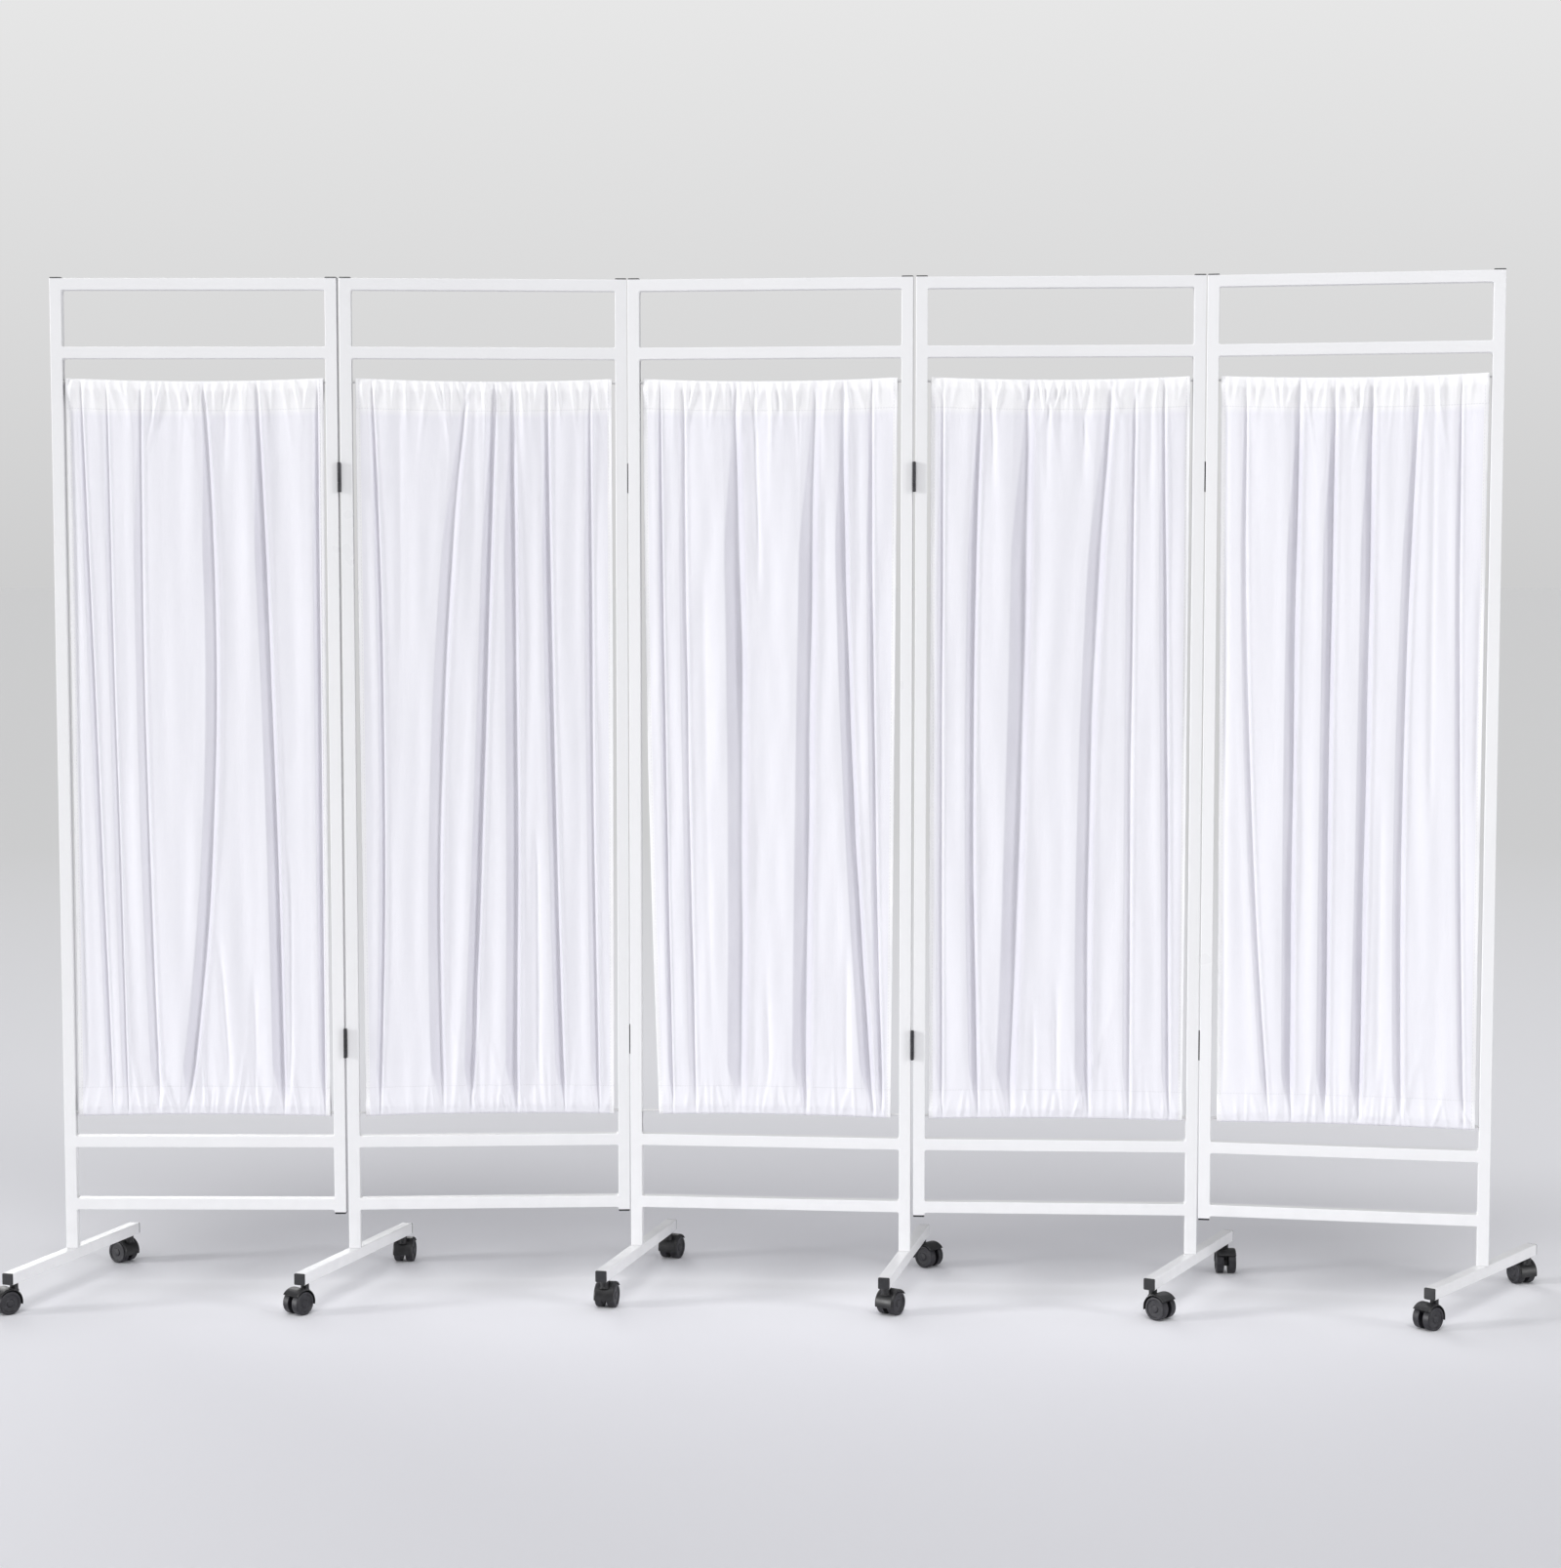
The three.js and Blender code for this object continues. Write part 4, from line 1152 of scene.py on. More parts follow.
def short_furrows(panel, sizes, across, down, width):
    """The depth of the smaller furrows, which run down only part of the cloth."""
    well = 0.0
    breadth = sizes.fold_width * SHORT_BREADTH
    for top, low, start, end, depth_share in SHORT_FURROW_SHARES[panel]:
        away = (across - top - (low - top) * down) * width / breadth
        started = smooth_step(start + SHORT_START[0], start + SHORT_START[1], down)
        ended = smooth_step(end + SHORT_END[0], end + SHORT_END[1], down)
        well = well + depth_share * (started * ended) * np.exp(-away * away)
    return np.minimum(well, SHORT_DEEPEST)


def gathers(sizes, chance, across, near, width):
    """The depth of the gathers along one wire. They crowd towards the middle, and each fades out
    at its own distance from the wire."""
    depth = 0.0
    for order in range(sizes.gathers):
        even = (order + chance.uniform(*GATHER_PLACES)) / sizes.gathers
        place = even + GATHER_CROWDING * math.sin(math.tau * even) / math.tau
        crowd = 1 - abs(2 * place - 1)
        reach = sizes.hem * chance.uniform(*GATHER_REACHES)
        reach = reach * (1 + CROWDED_REACH * crowd * chance.uniform(*CROWDED_REACHES) ** 2)
        lean = chance.normal(0, GATHER_LEAN)
        breadth = sizes.gather_width * chance.uniform(*GATHER_BREADTHS)
        away = (across - place) * width + lean * near
        size = chance.uniform(*GATHER_DEPTHS)
        depth = depth + size * np.exp(-(away / breadth) ** 2 - (near / reach) ** 2)
    return np.minimum(depth, GATHER_DEEPEST)


def soft_waves(chance, x, z):
    """Slow waves and creases that no two curtains share."""
    depth = 0.0
    for _ in range(WAVES):
        across = 1 / chance.uniform(*WAVES_ACROSS)
        along = chance.normal(0, 1) / chance.uniform(*WAVES_DOWN)
        phase = chance.uniform(0, math.tau)
        depth = depth + np.sin(math.tau * (across * x + along * z) + phase)
    return depth / math.sqrt(WAVES) * WAVE_DEPTH


def cloth_places(panel, settings):
    """The places of the cloth's grid in its panel, each row's length along the cloth, whether the
    cloth is doubled there by a hem, and how much painted shade lies over the pleats at each place."""
    sizes = settings.curtain
    bay_half = settings.frame.bay_half
    chance = np.random.default_rng(SEED + panel)
    upper, lower = wire_levels(panel, sizes)
    span = upper - lower
    down, turn = sheet_rows(sizes, span)
    across = np.linspace(0, 1, sizes.columns + 1)[None, :]
    left = -bay_half + through_three(*LEFT_EDGE_SHARES[panel], down) * sizes.edge_gap
    right = bay_half - through_three(*RIGHT_EDGE_SHARES[panel], down) * sizes.edge_gap
    width = right - left
    bow = 4 * across * (1 - across)
    top_line = upper - sizes.top_sag * bow
    foot_line = lower + sizes.foot_rise * bow
    x = left + width * across
    z = top_line + (foot_line - top_line) * down
    near = np.minimum(down, 1 - down) * span
    opening = smooth_step(*(sizes.hem * share for share in OPENING), near)

    # Folds between the wires
    well, ridge, draw, pleat_shade = main_furrows(panel, sizes, across, down, width)
    short = short_furrows(panel, sizes, across, down, width)
    waves = soft_waves(chance, x, z)
    folds = sizes.fold_depth * (np.minimum(well + short, 1) - 0.5) - sizes.ridge * ridge
    base = opening * (folds + waves)

    # Gathers at the wires
    upper_gathers = gathers(sizes, chance, across, down * span, width)
    lower_gathers = gathers(sizes, chance, across, (1 - down) * span, width)
    ruffle = sizes.gather_depth * (upper_gathers + sizes.foot_share * lower_gathers)
    ruffle = ruffle * (1 - FLATTENED * well * opening) + sizes.bulge * (1 - well) * (1 - opening)
    off_wire = smooth_step(0, sizes.wire_inset * 2, near)
    ruffle = ruffle * (KEPT_AT_WIRE + (1 - KEPT_AT_WIRE) * off_wire)

    # Front and back of the hems round their wires
    closed = smooth_step(0, sizes.hem - sizes.wire_inset, near)
    pocket = (sizes.wire_radius + sizes.ease) * (1 - closed) + sizes.thickness * closed
    side = -np.cos(turn)
    half = pocket + ruffle * np.where(side < 0, 1.0, BACK_SHARE)
    end = np.where(down < 0.5, 1, -1)
    z = z + end * sizes.wire_inset * np.sin(turn)
    grid = np.stack(np.broadcast_arrays(x + draw * opening, base + side * half, z), axis=-1)
    doubled = (near < sizes.hem - sizes.wire_inset + HEM_MARGIN)[:, 0]
    run = row_lengths(sizes, down[:, 0], turn[:, 0], span)
    return grid, run, doubled, pleat_shade


def row_lengths(sizes, down, turn, span):
    """How far along the flat cloth each row lies, in metres."""
    straight = np.abs(np.diff(down)) * span
    steps = straight + np.abs(np.diff(turn)) * sizes.wire_inset * WRAP_SHARE
    run = np.concatenate([[0.0], np.cumsum(steps)])
    return run * sizes.flat_length / run[-1]


def cloth_mesh(panel, settings, place):
    """The cloth as a grid laid out over its places, with its pattern in metres."""
    sizes = settings.curtain
    grid, run, doubled, pleat_shading = cloth_places(panel, settings)
    rows, columns = len(run) - 1, sizes.columns
    bm = bmesh.new()
    bmesh.ops.create_grid(bm, x_segments=columns, y_segments=rows, size=0.5)
    mesh = bpy.data.meshes.new(f"curtain_cloth_{panel}")
    bm.to_mesh(mesh)
    bm.free()
    flat = np.empty(len(mesh.vertices) * 3)
    mesh.vertices.foreach_get("co", flat)
    flat = flat.reshape(-1, 3)
    column = np.rint((flat[:, 0] + 0.5) * columns).astype(int)
    row = np.rint((flat[:, 1] + 0.5) * rows).astype(int)
    matrix = np.array(place)
    places = grid[row, column] @ matrix[:3, :3].T + matrix[:3, 3]
    mesh.vertices.foreach_set("co", places.ravel())
    corner = np.empty(len(mesh.loops), int)
    mesh.loops.foreach_get("vertex_index", corner)
    pattern = np.stack([column / columns * sizes.flat_width, run[row]], axis=-1)[corner]
    mesh.uv_layers.new(name="Cloth").data.foreach_set("uv", pattern.ravel())
    hem = mesh.attributes.new("hem", "FLOAT", "POINT")
    hem.data.foreach_set("value", doubled[row].astype(float))
    # Painted shade over the furrows' pleats, read by the cloth's colour
    pleat_shade = mesh.attributes.new("pleat_shade", "FLOAT", "POINT")
    pleat_shade.data.foreach_set("value", pleat_shading[row, column])
    mesh.update()
    mesh.shade_smooth()
    return mesh


def wire_mesh(settings, level, sag):
    """A sprung wire from stile to stile, which bows by sag in its middle."""
    sizes = settings.curtain
    reach = settings.frame.bay_half + sizes.wire_grip - settings.frame.play
    steps = 40
    bm = bmesh.new()
    level_end = Matrix.Translation((-reach, 0, level)) @ Matrix.Rotation(math.pi / 2, 4, "Y")
    ring = bmesh.ops.create_circle(bm, cap_ends=True, segments=14, radius=sizes.wire_radius,
                                   matrix=level_end)["verts"]
    end = ring[0].link_faces[0]
    for _ in range(steps):
        longer = bmesh.ops.extrude_face_region(bm, geom=[end])["geom"]
        end = next(item for item in longer if isinstance(item, bmesh.types.BMFace))
        bmesh.ops.translate(bm, verts=end.verts, vec=(2 * reach / steps, 0, 0))
    along = bm.verts.layers.float.new("along")
    for vert in bm.verts:
        vert[along] = vert.co.x + reach
        across = min(1.0, abs(vert.co.x) / settings.frame.bay_half)
        vert.co.z -= sag * (1 - across * across)
    return bm


# Hinges

# A rivet's head, as shares of its radius and height at its shoulder, and the places of the two
# rivets over half the leaf's length
RIVET_SHOULDER = (0.7, 0.8)
RIVET_PLACES = (-0.62, 0.62)


def leaf_mesh(settings, side, notched):
    """One leaf's plate with its rivets, on the side of the pin given by side, cut back where the
    test says that the other leaf's knuckles turn."""
    sizes = settings.hinge
    half = sizes.length / 2
    middle = half * sizes.middle
    cut = sizes.knuckle + sizes.gap
    depth = sizes.proud + sizes.reach
    rows = (-half, -middle - sizes.gap, -middle, middle, middle + sizes.gap, half)
    bm = plate((0, cut, depth), rows, lambda point: point.x > cut or not notched(point.z),
               sizes.leaf)
    bmesh.ops.dissolve_limit(bm, angle_limit=0.01, verts=bm.verts, edges=bm.edges)
    rounded(bm, [edge for edge in bm.edges if is_sharp(edge)], sizes.air, segments=2)
    upright = Matrix.Rotation(math.pi / 2, 4, "Z")
    outer = settings.frame.seam_gap / 2 - sizes.air
    shift = outer if side > 0 else sizes.leaf - outer
    bmesh.ops.transform(bm, matrix=Matrix.Translation((shift, 0, 0)) @ upright, verts=bm.verts)
    shoulder_radius, shoulder_height = RIVET_SHOULDER
    dome = [(0, 0, 0), (sizes.rivet, 0, 0),
            (sizes.rivet * shoulder_radius, sizes.rivet_height * shoulder_height, 0),
            (0, sizes.rivet_height, 0)]
    face = side * (outer - sizes.leaf)
    inward = Matrix.Rotation(-side * math.pi / 2, 4, "Y")
    for level in RIVET_PLACES:
        spot = Vector((face, cut + (depth - cut) / 2, level * half))
        merge(bm, turned(dome, steps=16), Matrix.Translation(spot) @ inward)
    return bm


def knuckle_mesh(sizes, low, high):
    """One knuckle, bored for the pin."""
    bore = sizes.pin + sizes.air / 2
    soft = sizes.air
    outline = [(bore, low, 0), (sizes.knuckle, low, soft), (sizes.knuckle, high, soft),
               (bore, high, 0)]
    return turned(outline, steps=28, closed=True)


def pin_mesh(sizes):
    """The pin with a head at each end."""
    half = sizes.length / 2
    top = half + sizes.head_height
    cheek = half + sizes.air / 4
    end = [(0, -top, 0), (sizes.head, -top, sizes.air), (sizes.head, -cheek, 0),
           (sizes.pin, -cheek, 0)]
    other = [(radius, -height, soft) for radius, height, soft in reversed(end)]
    return turned(end + other, steps=20)


def pin_leaf_mesh(settings):
    """The leaf that holds the pin, with a knuckle at each end."""
    sizes = settings.hinge
    half = sizes.length / 2
    start = half * sizes.middle + sizes.gap
    bm = leaf_mesh(settings, -1, lambda z: abs(z) < start)
    merge(bm, knuckle_mesh(sizes, start, half))
    merge(bm, knuckle_mesh(sizes, -half, -start))
    merge(bm, pin_mesh(sizes))
    return bm


def eye_leaf_mesh(settings):
    """The leaf whose one knuckle turns on the pin."""
    sizes = settings.hinge
    middle = sizes.length / 2 * sizes.middle
    bm = leaf_mesh(settings, 1, lambda z: abs(z) > middle)
    merge(bm, knuckle_mesh(sizes, -middle, middle))
    return bm


def hinge_owners(seam):
    """The panels that carry a seam's pin leaves and its eye leaves."""
    return (seam, seam + 1) if SEAM_FRONTS[seam] > 0 else (seam + 1, seam)


def leaf_place(panel, seam, height, settings):
    """The place of a leaf at its own panel, turned half round at a rear seam."""
    front = SEAM_FRONTS[seam]
    side = 1 if panel == seam else -1
    stand_off = settings.frame.side / 2 + settings.hinge.proud
    spot = Matrix.Translation((side * settings.frame.pitch / 2, -front * stand_off, height))
    turn = Matrix.Rotation(0 if front > 0 else math.pi, 4, "Z")
    return panel_place(panel, settings) @ spot @ turn


# Feet and casters

def foot_mesh(settings):
    """A foot's level tube, open at both ends, with the pivot for the stile welded on top and a
    socket for a caster's stem near each end."""
    tube, sizes, caster = settings.frame, settings.foot, settings.caster
    half = tube.side / 2
    reach = sizes.length / 2 - tube.plug
    low = caster.height
    bm = block((-half, -reach, low), (half, reach, low + tube.side))
    rounded(bm, [edge for edge in bm.edges if runs_along(edge, 1)], tube.corner, segments=4)
    bm.normal_update()
    for end in CASTER_ENDS.values():
        face = widest_face(bm, Vector((0, end, 0)))
        sunk(bm, face, tube.wall, tube.core_depth + tube.play)
    up, top = Vector((0, 0, 1)), Vector((0, 0, low + tube.side))
    tip = round_spot(bm, flat_face(bm, top, up), top, sizes.spigot, sizes.spigot_length,
                     segments=24)
    rounded(bm, list(tip.edges), tube.cap_bevel, segments=2)
    bm.normal_update()
    for end in CASTER_ENDS.values():
        spot = Vector((0, end * (sizes.length / 2 - sizes.stem_inset), low))
        face = flat_face(bm, spot, -up)
        round_spot(bm, face, spot, caster.stem + tube.play, -caster.stem_length, segments=20)
    return bm


def end_cap_place(settings, end):
    """The place of a foot's end cap, facing out of the tube."""
    tube, low = settings.frame, settings.caster.height
    reach = settings.foot.length / 2 - tube.plug
    turn = Matrix.Rotation(-end * math.pi / 2, 4, "X")
    return Matrix.Translation((0, end * reach, low + tube.side / 2)) @ turn


# The least angle of a hood's edges that are rounded
SOFTENED_ANGLE = math.radians(25)


def housing_mesh(sizes, play):
    """A caster's hood and web as one moulding, with the boss round the axle and the neck."""
    wide = sizes.web / 2 + sizes.gap + sizes.width
    web, web_edge = sizes.web / 2, sizes.web_hub * 0.7
    crown = sizes.hood_outer - sizes.hood_inner
    hood = [(sizes.hood_inner, web), (sizes.hood_inner, wide),
            (sizes.hood_outer - crown / 2, wide), (sizes.hood_outer, wide - crown)]
    rim = hood + [(radius, -width) for radius, width in reversed(hood)]
    outline = rim + [(web_edge, -web), (web_edge, web)]
    bm = swept(outline, sizes.hood_front, sizes.hood_rear, steps=30)
    soft = [edge for edge in bm.edges if edge.calc_face_angle(0.0) > SOFTENED_ANGLE]
    rounded(bm, soft, crown / 6, segments=2)
    boss_half = web + sizes.gap / 2
    bore = sizes.axle + play
    boss = [(bore, -boss_half, 0), (sizes.web_hub, -boss_half, play),
            (sizes.web_hub, boss_half, play), (bore, boss_half, 0)]
    level = Matrix.Rotation(math.pi / 2, 4, "X")
    merge(bm, turned(boss, steps=32, closed=True), level)
    bmesh.ops.translate(bm, verts=bm.verts, vec=(-sizes.trail, 0, sizes.radius))
    skirt, skirt_top = sizes.boss * 1.25, sizes.boss_foot + sizes.gap * 4
    top = sizes.height - play
    neck = [(0, sizes.boss_foot, 0), (skirt, sizes.boss_foot, 0), (sizes.boss, skirt_top, play),
            (sizes.boss, top, play * 2), (0, top, 0)]
    merge(bm, turned(neck, steps=32))
    return bm


def stem_mesh(sizes, play):
    """A caster's steel stem, with a groove for its grip ring near its top."""
    low, top = sizes.boss_foot + sizes.gap * 2, sizes.height + sizes.stem_length - play * 2
    groove, groove_top = top - sizes.stem, top - sizes.stem + play * 4
    outline = [(0, low, 0), (sizes.stem, low, 0), (sizes.stem, groove, 0),
               (sizes.stem - play, groove, 0), (sizes.stem - play, groove_top, 0),
               (sizes.stem, groove_top, 0), (sizes.stem, top, play * 2), (0, top, 0)]
    return turned(outline, steps=24)


def wheels_mesh(sizes):
    """Two wheels on one axle. Each has a rounded tread, a dished disc and a hub cap."""
    inner = sizes.web / 2 + sizes.gap
    outer = inner + sizes.width
    recess = inner + sizes.gap
    boss, boss_foot, recess_edge = sizes.hub * 1.3, sizes.hub * 1.4, sizes.disc * 1.03
    flat_edge = (sizes.radius + sizes.disc) / 2
    disc = outer - sizes.dish
    disc_edge, hub_foot, hub_crown = sizes.disc * 0.96, sizes.hub * 1.25, sizes.hub * 0.45
    soft = sizes.gap / 2
    right = [
        (sizes.axle, inner, 0),
        (boss, inner, 0),
        (boss_foot, recess, 0),
        (sizes.disc, recess, 0),
        (recess_edge, inner, 0),
        (sizes.radius, inner, sizes.gap),
        (sizes.radius, outer, sizes.shoulder),
        (flat_edge, outer, 0),
        (sizes.disc, outer - soft / 2, soft / 2),
        (disc_edge, disc, soft),
        (hub_foot, disc - soft / 2, soft),
        (sizes.hub, disc + sizes.hub_rise, soft),
        (hub_crown, disc + sizes.hub_rise * 1.15, 0),
        (0, disc + sizes.hub_rise * 1.2, 0),
    ]
    left = [(radius, -reach, rounding) for radius, reach, rounding in reversed(right)]
    return turned(left + right, steps=48)


def axle_place(foot, end, sizes):
    """The place of a pair of wheels, with its axle along the part's own Z."""
    spot = Matrix.Translation((-sizes.trail, 0, sizes.radius))
    return caster_place(foot, end) @ spot @ Matrix.Rotation(math.pi / 2, 4, "X")


# The operators, one for each group of like pieces

class SCREEN_OT_frames(Operator):
    """Build the five welded frames of square tube"""

    bl_idname = "screen.frames"
    bl_label = "Frames"

    def execute(self, context):
        settings = context.scene.ward_screen
        for panel in PANELS:
            bm = frame_mesh(settings, panel, wire_levels(panel, settings.curtain))
            piece = add_solid(bm, f"frame_tube_{panel}", panel_place(panel, settings),
                              f"panel_{panel}", paint_finish(settings.colours))
            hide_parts(f"frame_{panel}")
        return {"FINISHED"}


class SCREEN_OT_caps(Operator):
    """Build the flat caps on the stiles and the plugs in those without a foot"""

    bl_idname = "screen.caps"
    bl_label = "Caps and plugs"

    def execute(self, context):
        settings = context.scene.ward_screen
        sizes = settings.frame
        for panel in PANELS:
            place = panel_place(panel, settings)
            for name, side in SIDES.items():
                x = side * sizes.stile_centre
                top = place @ Matrix.Translation((x, 0, sizes.stile_top))
                add_solid(cap_mesh(sizes, sizes.cap), f"top_cap_{panel}_{name}", top,
                          f"panel_{panel}", cap_finish(settings.colours))
                if has_foot(panel, side):
                    continue
                low = Matrix.Translation((x, 0, sizes.stub_bottom - sizes.play))
                under = place @ low @ Matrix.Rotation(math.pi, 4, "X")
                plug = add_solid(cap_mesh(sizes, sizes.plug), f"foot_plug_{panel}_{name}", under,
                                 f"panel_{panel}", cap_finish(settings.colours))
                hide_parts(f"stub_plug_{panel}_{name}")
        return {"FINISHED"}


class SCREEN_OT_curtains(Operator):
    """Build the gathered curtains on their two wires"""

    bl_idname = "screen.curtains"
    bl_label = "Curtains and wires"

    def execute(self, context):
        settings = context.scene.ward_screen
        sizes, colours = settings.curtain, settings.colours
        cloth, coating = curtain_cloth(sizes, colours), wire_coating(colours)
        for panel in PANELS:
            place = panel_place(panel, settings)
            body = f"panel_{panel}"
            levels = wire_levels(panel, sizes)
            for name, level, sag in zip(LEVELS, levels, (sizes.top_sag, -sizes.foot_rise)):
                add_solid(wire_mesh(settings, level, sag), f"{name}_wire_{panel}",
                                       place, body, coating)
            piece = add_piece(cloth_mesh(panel, settings, place), f"curtain_cloth_{panel}", body,
                              cloth)
            thick = piece.modifiers.new("Thickness", "SOLIDIFY")
            thick.thickness = sizes.thickness
            thick.offset = 0.0
            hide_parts(f"curtain_{panel}")
        return {"FINISHED"}


class SCREEN_OT_hinges(Operator):
    """Build the two butt hinges of each seam"""

    bl_idname = "screen.hinges"
    bl_label = "Hinges"

    def execute(self, context):
        settings = context.scene.ward_screen
        sizes, colours = settings.hinge, settings.colours
        heights = (settings.frame.stile_top - sizes.upper_drop, sizes.lower_height)
        for seam in SEAM_FRONTS:
            pin_panel, eye_panel = hinge_owners(seam)
            for level, height in zip(LEVELS, heights):
                for leaf, panel, make in (("pin_leaf", pin_panel, pin_leaf_mesh),
                                          ("eye_leaf", eye_panel, eye_leaf_mesh)):
                    node = f"hinge_{seam}_{level}_{leaf}"
                    piece = add_solid(make(settings), f"{leaf}_{seam}_{level}",
                                      leaf_place(panel, seam, height, settings), f"panel_{panel}",
                                      hinge_finish(colours))
                    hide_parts(node)
        return {"FINISHED"}


class SCREEN_OT_feet(Operator):
    """Build the T feet and the caps in their ends"""

    bl_idname = "screen.feet"
    bl_label = "Feet"

    def execute(self, context):
        settings = context.scene.ward_screen
        for foot in FEET:
            place = foot_place(foot)
            body = f"swivel_foot_{foot}"
            bar = add_solid(foot_mesh(settings), f"foot_tube_{foot}", place, body,
                            paint_finish(settings.colours))
            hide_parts(f"foot_{foot}")
            for end, way in CASTER_ENDS.items():
                add_solid(cap_mesh(settings.frame, settings.frame.plug), f"foot_cap_{foot}_{end}",
                          place @ end_cap_place(settings, way), body,
                          cap_finish(settings.colours))
        return {"FINISHED"}


class SCREEN_OT_casters(Operator):
    """Build the twin-wheel casters: housings, stems and wheels"""

    bl_idname = "screen.casters"
    bl_label = "Casters"

    def execute(self, context):
        settings = context.scene.ward_screen
        sizes, colours, play = settings.caster, settings.colours, settings.frame.play
        for foot in FEET:
            for end in CASTER_ENDS:
                place = caster_place(foot, end)
                body = f"caster_body_{foot}_{end}"
                housing = add_solid(housing_mesh(sizes, play), f"caster_housing_{foot}_{end}",
                                    place, body, housing_finish(colours))
                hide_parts(f"caster_{foot}_{end}")
                add_solid(stem_mesh(sizes, play), f"caster_stem_{foot}_{end}", place, body,
                          stem_finish(colours))
                wheels = add_solid(wheels_mesh(sizes), f"wheel_pair_{foot}_{end}",
                                   axle_place(foot, end, sizes), f"wheel_set_{foot}_{end}",
                                   wheel_finish(colours))
                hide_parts(f"wheels_{foot}_{end}")
        return {"FINISHED"}


def add_soft_light(name, strength, turn, height, spread):
    """An even soft light from far off. It stands turned about Z from the front, at a height over
    level, and is as wide as its spread, all in degrees."""
    light = bpy.data.lights.new(name, "SUN")
    light.energy = strength
    light.angle = math.radians(spread)
    front = Vector((0, -1, math.tan(math.radians(height))))
    source = Matrix.Rotation(math.radians(turn), 3, "Z") @ front
    lamp = bpy.data.objects.new(name, light)
    lamp.rotation_euler = source.to_track_quat("Z", "Y").to_euler()
    bpy.context.scene.collection.objects.link(lamp)


# The colour of the light from all round
SKY = (0.96, 0.97, 1.0)


def add_surroundings(look):
    """Light from all round, and the pale backdrop that the camera sees above the floor, which is
    painted darker where it meets the floor, as painted shade.
    """
    world = bpy.data.worlds.new("Surroundings")
    world.use_nodes = True
    tree = world.node_tree
    around = tree.nodes["Background"]
    around.inputs["Color"].default_value = (*SKY, 1.0)
    around.inputs["Strength"].default_value = look.sky
    seen = tree.nodes.new("ShaderNodeBackground")
    height = tree.nodes.new("ShaderNodeSeparateXYZ")
    shade = tree.nodes.new("ShaderNodeValToRGB")
    # The backdrop's darker horizon is painted shade where it meets the floor
    shade.color_ramp.elements[0].color = (*look.horizon_shade, 1.0)
    shade.color_ramp.elements[1].color = (*look.backdrop, 1.0)
    shade.color_ramp.elements[1].position = look.fade
    mixed = tree.nodes.new("ShaderNodeMixShader")
    links = ((tree.nodes.new("ShaderNodeTexCoord").outputs["Generated"], height.inputs[0]),
             (height.outputs["Z"], shade.inputs["Fac"]),
             (shade.outputs["Color"], seen.inputs["Color"]),
             (tree.nodes.new("ShaderNodeLightPath").outputs["Is Camera Ray"], mixed.inputs["Fac"]),
             (around.outputs[0], mixed.inputs[1]),
             (seen.outputs[0], mixed.inputs[2]),
             (mixed.outputs[0], tree.nodes["World Output"].inputs["Surface"]))
    for source, target in links:
        tree.links.new(source, target)
    bpy.context.scene.world = world


def add_camera(look):
    """The camera at the photograph's viewing angle."""
    camera = bpy.data.cameras.new("Camera")
    camera.lens = look.lens
    camera.sensor_width = 36.0
    viewer = bpy.data.objects.new("Camera", camera)
    viewer.location = look.eye
    viewer.rotation_euler = (math.pi / 2 - look.pitch, 0, look.yaw)
    bpy.context.scene.collection.objects.link(viewer)
    bpy.context.scene.camera = viewer


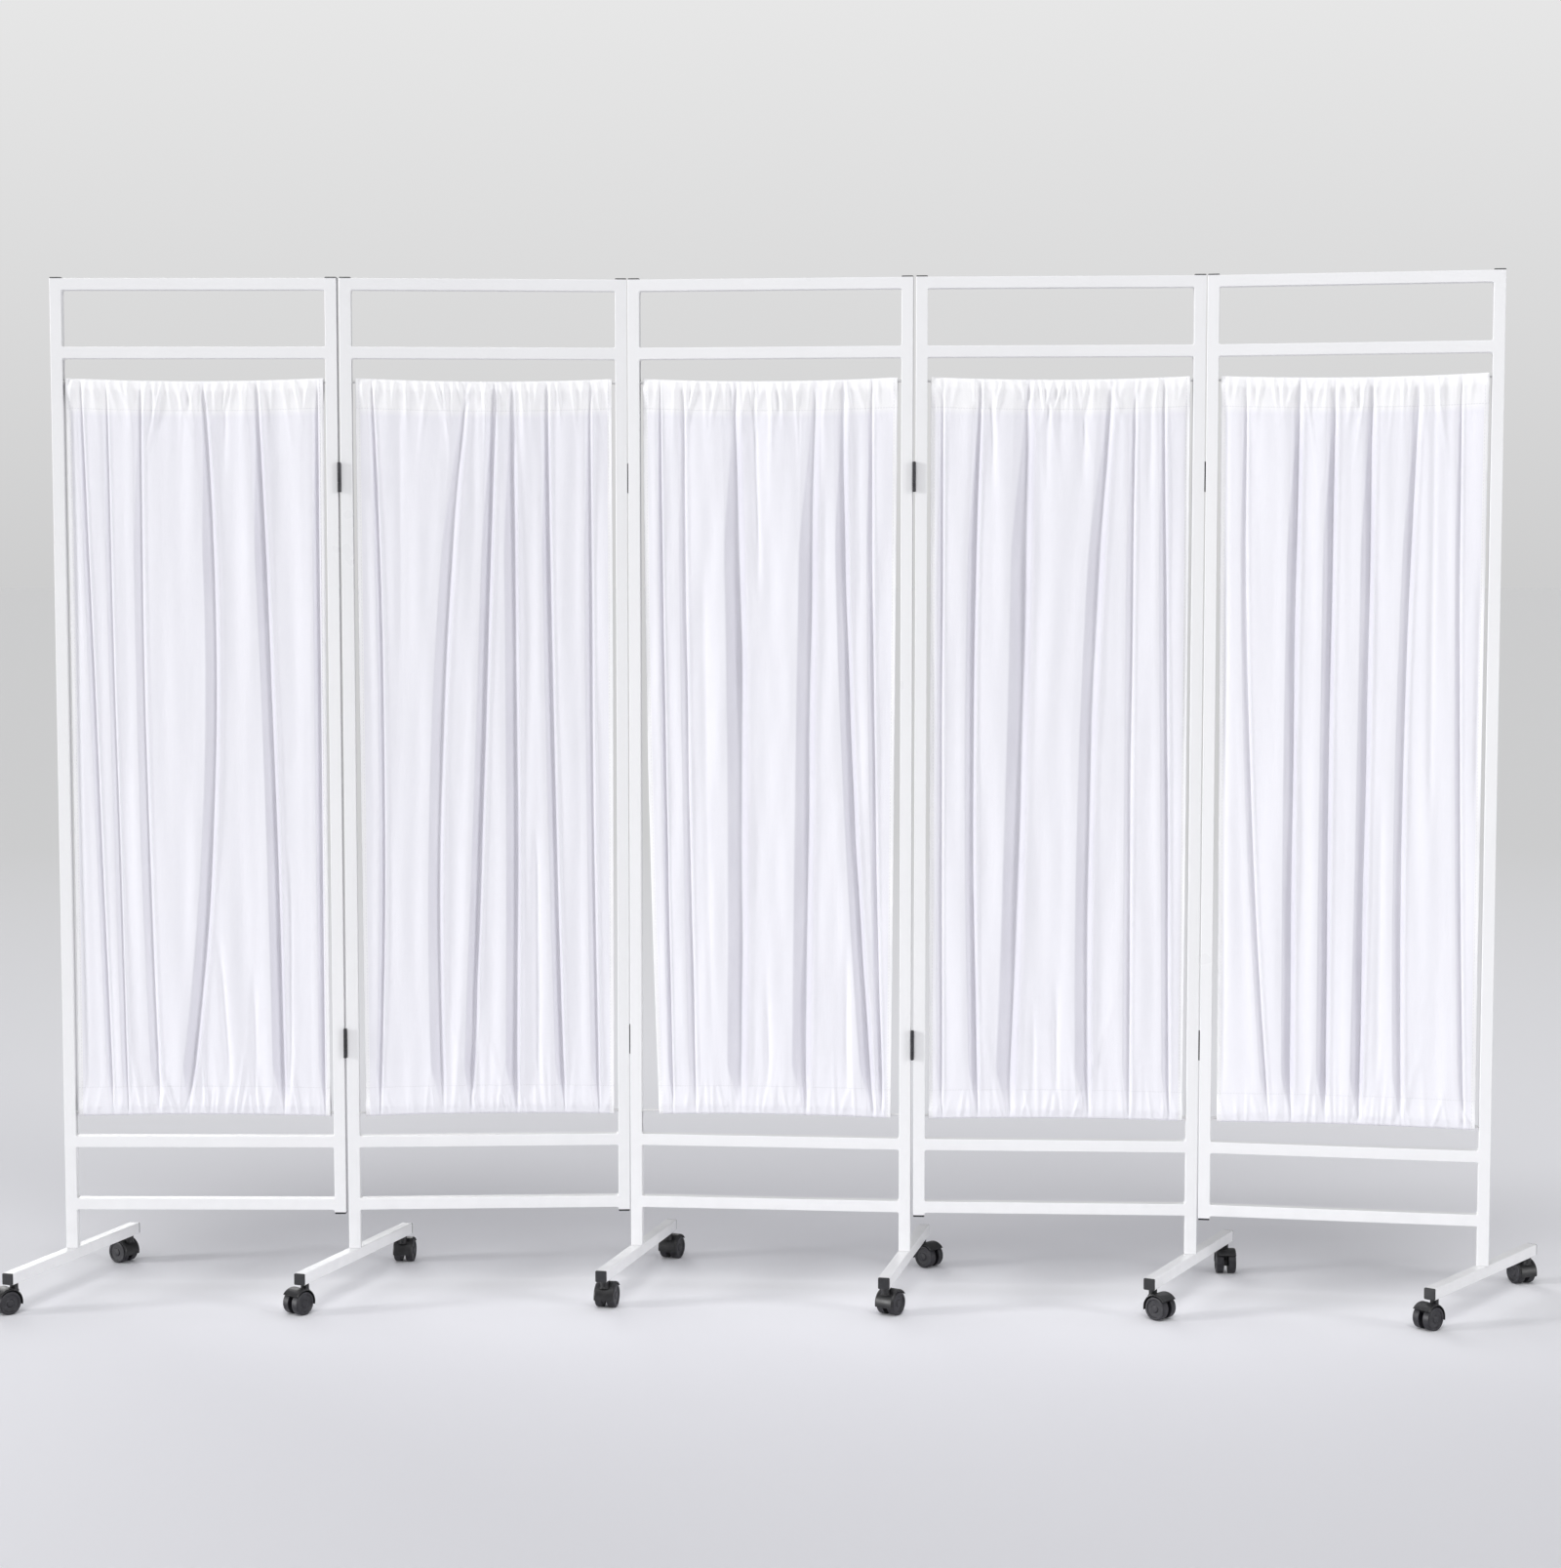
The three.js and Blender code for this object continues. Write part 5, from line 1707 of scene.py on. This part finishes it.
class SCREEN_OT_stage(Operator):
    """Build the plain floor, the lights and the camera"""

    bl_idname = "screen.stage"
    bl_label = "Stage"

    def execute(self, context):
        settings = context.scene.ward_screen
        look = settings.stage
        mesh = bpy.data.meshes.new("stage_floor")
        bm = bmesh.new()
        bmesh.ops.create_circle(bm, cap_ends=True, segments=96, radius=look.floor_radius)
        bm.to_mesh(mesh)
        bm.free()
        mesh.materials.append(stage_paint(settings.colours))
        floor = bpy.data.objects.new("stage_floor", mesh)
        context.scene.collection.objects.link(floor)
        context.scene.view_settings.view_transform = "Standard"
        add_surroundings(look)
        add_soft_light("Key_light", look.key, turn=0, height=52, spread=40)
        add_soft_light("Left_light", look.left, turn=-70, height=10, spread=12)
        add_soft_light("Right_light", look.right, turn=66, height=12, spread=16)
        add_soft_light("Back_light", look.back, turn=206, height=26, spread=30)
        add_camera(look)
        return {"FINISHED"}


OPERATORS = (SCREEN_OT_frames, SCREEN_OT_caps, SCREEN_OT_curtains, SCREEN_OT_hinges,
             SCREEN_OT_feet, SCREEN_OT_casters, SCREEN_OT_stage)


class SCREEN_PT_sidebar(Panel):
    """Lists the screen's operators and settings"""

    bl_idname = "SCREEN_PT_sidebar"
    bl_label = "Ward Privacy Screen"
    bl_space_type = "VIEW_3D"
    bl_region_type = "UI"
    bl_category = "Screen"

    def draw(self, context):
        settings = context.scene.ward_screen
        for operator in OPERATORS:
            self.layout.operator(operator.bl_idname, text=operator.bl_label)
        for group in ("frame", "curtain", "hinge", "foot", "caster", "colours", "stage"):
            box = self.layout.box()
            box.label(text=group.capitalize())
            values = getattr(settings, group)
            for name in values.__annotations__:
                box.prop(values, name)


CLASSES = (FrameSizes, CurtainSizes, HingeSizes, FootSizes, CasterSizes, FinishColours, StageLook,
           ScreenSettings, *OPERATORS, SCREEN_PT_sidebar)


def register():
    """Adds the settings, the operators and the panel."""
    for one in CLASSES:
        bpy.utils.register_class(one)
    bpy.types.Scene.ward_screen = PointerProperty(type=ScreenSettings)


def unregister():
    """Takes them away again."""
    del bpy.types.Scene.ward_screen
    for one in reversed(CLASSES):
        bpy.utils.unregister_class(one)


def main():
    """Builds the screen and its stage."""
    register()
    bpy.ops.screen.frames()
    bpy.ops.screen.caps()
    bpy.ops.screen.curtains()
    bpy.ops.screen.hinges()
    bpy.ops.screen.feet()
    bpy.ops.screen.casters()
    bpy.ops.screen.stage()


if __name__ == "__main__":
    main()
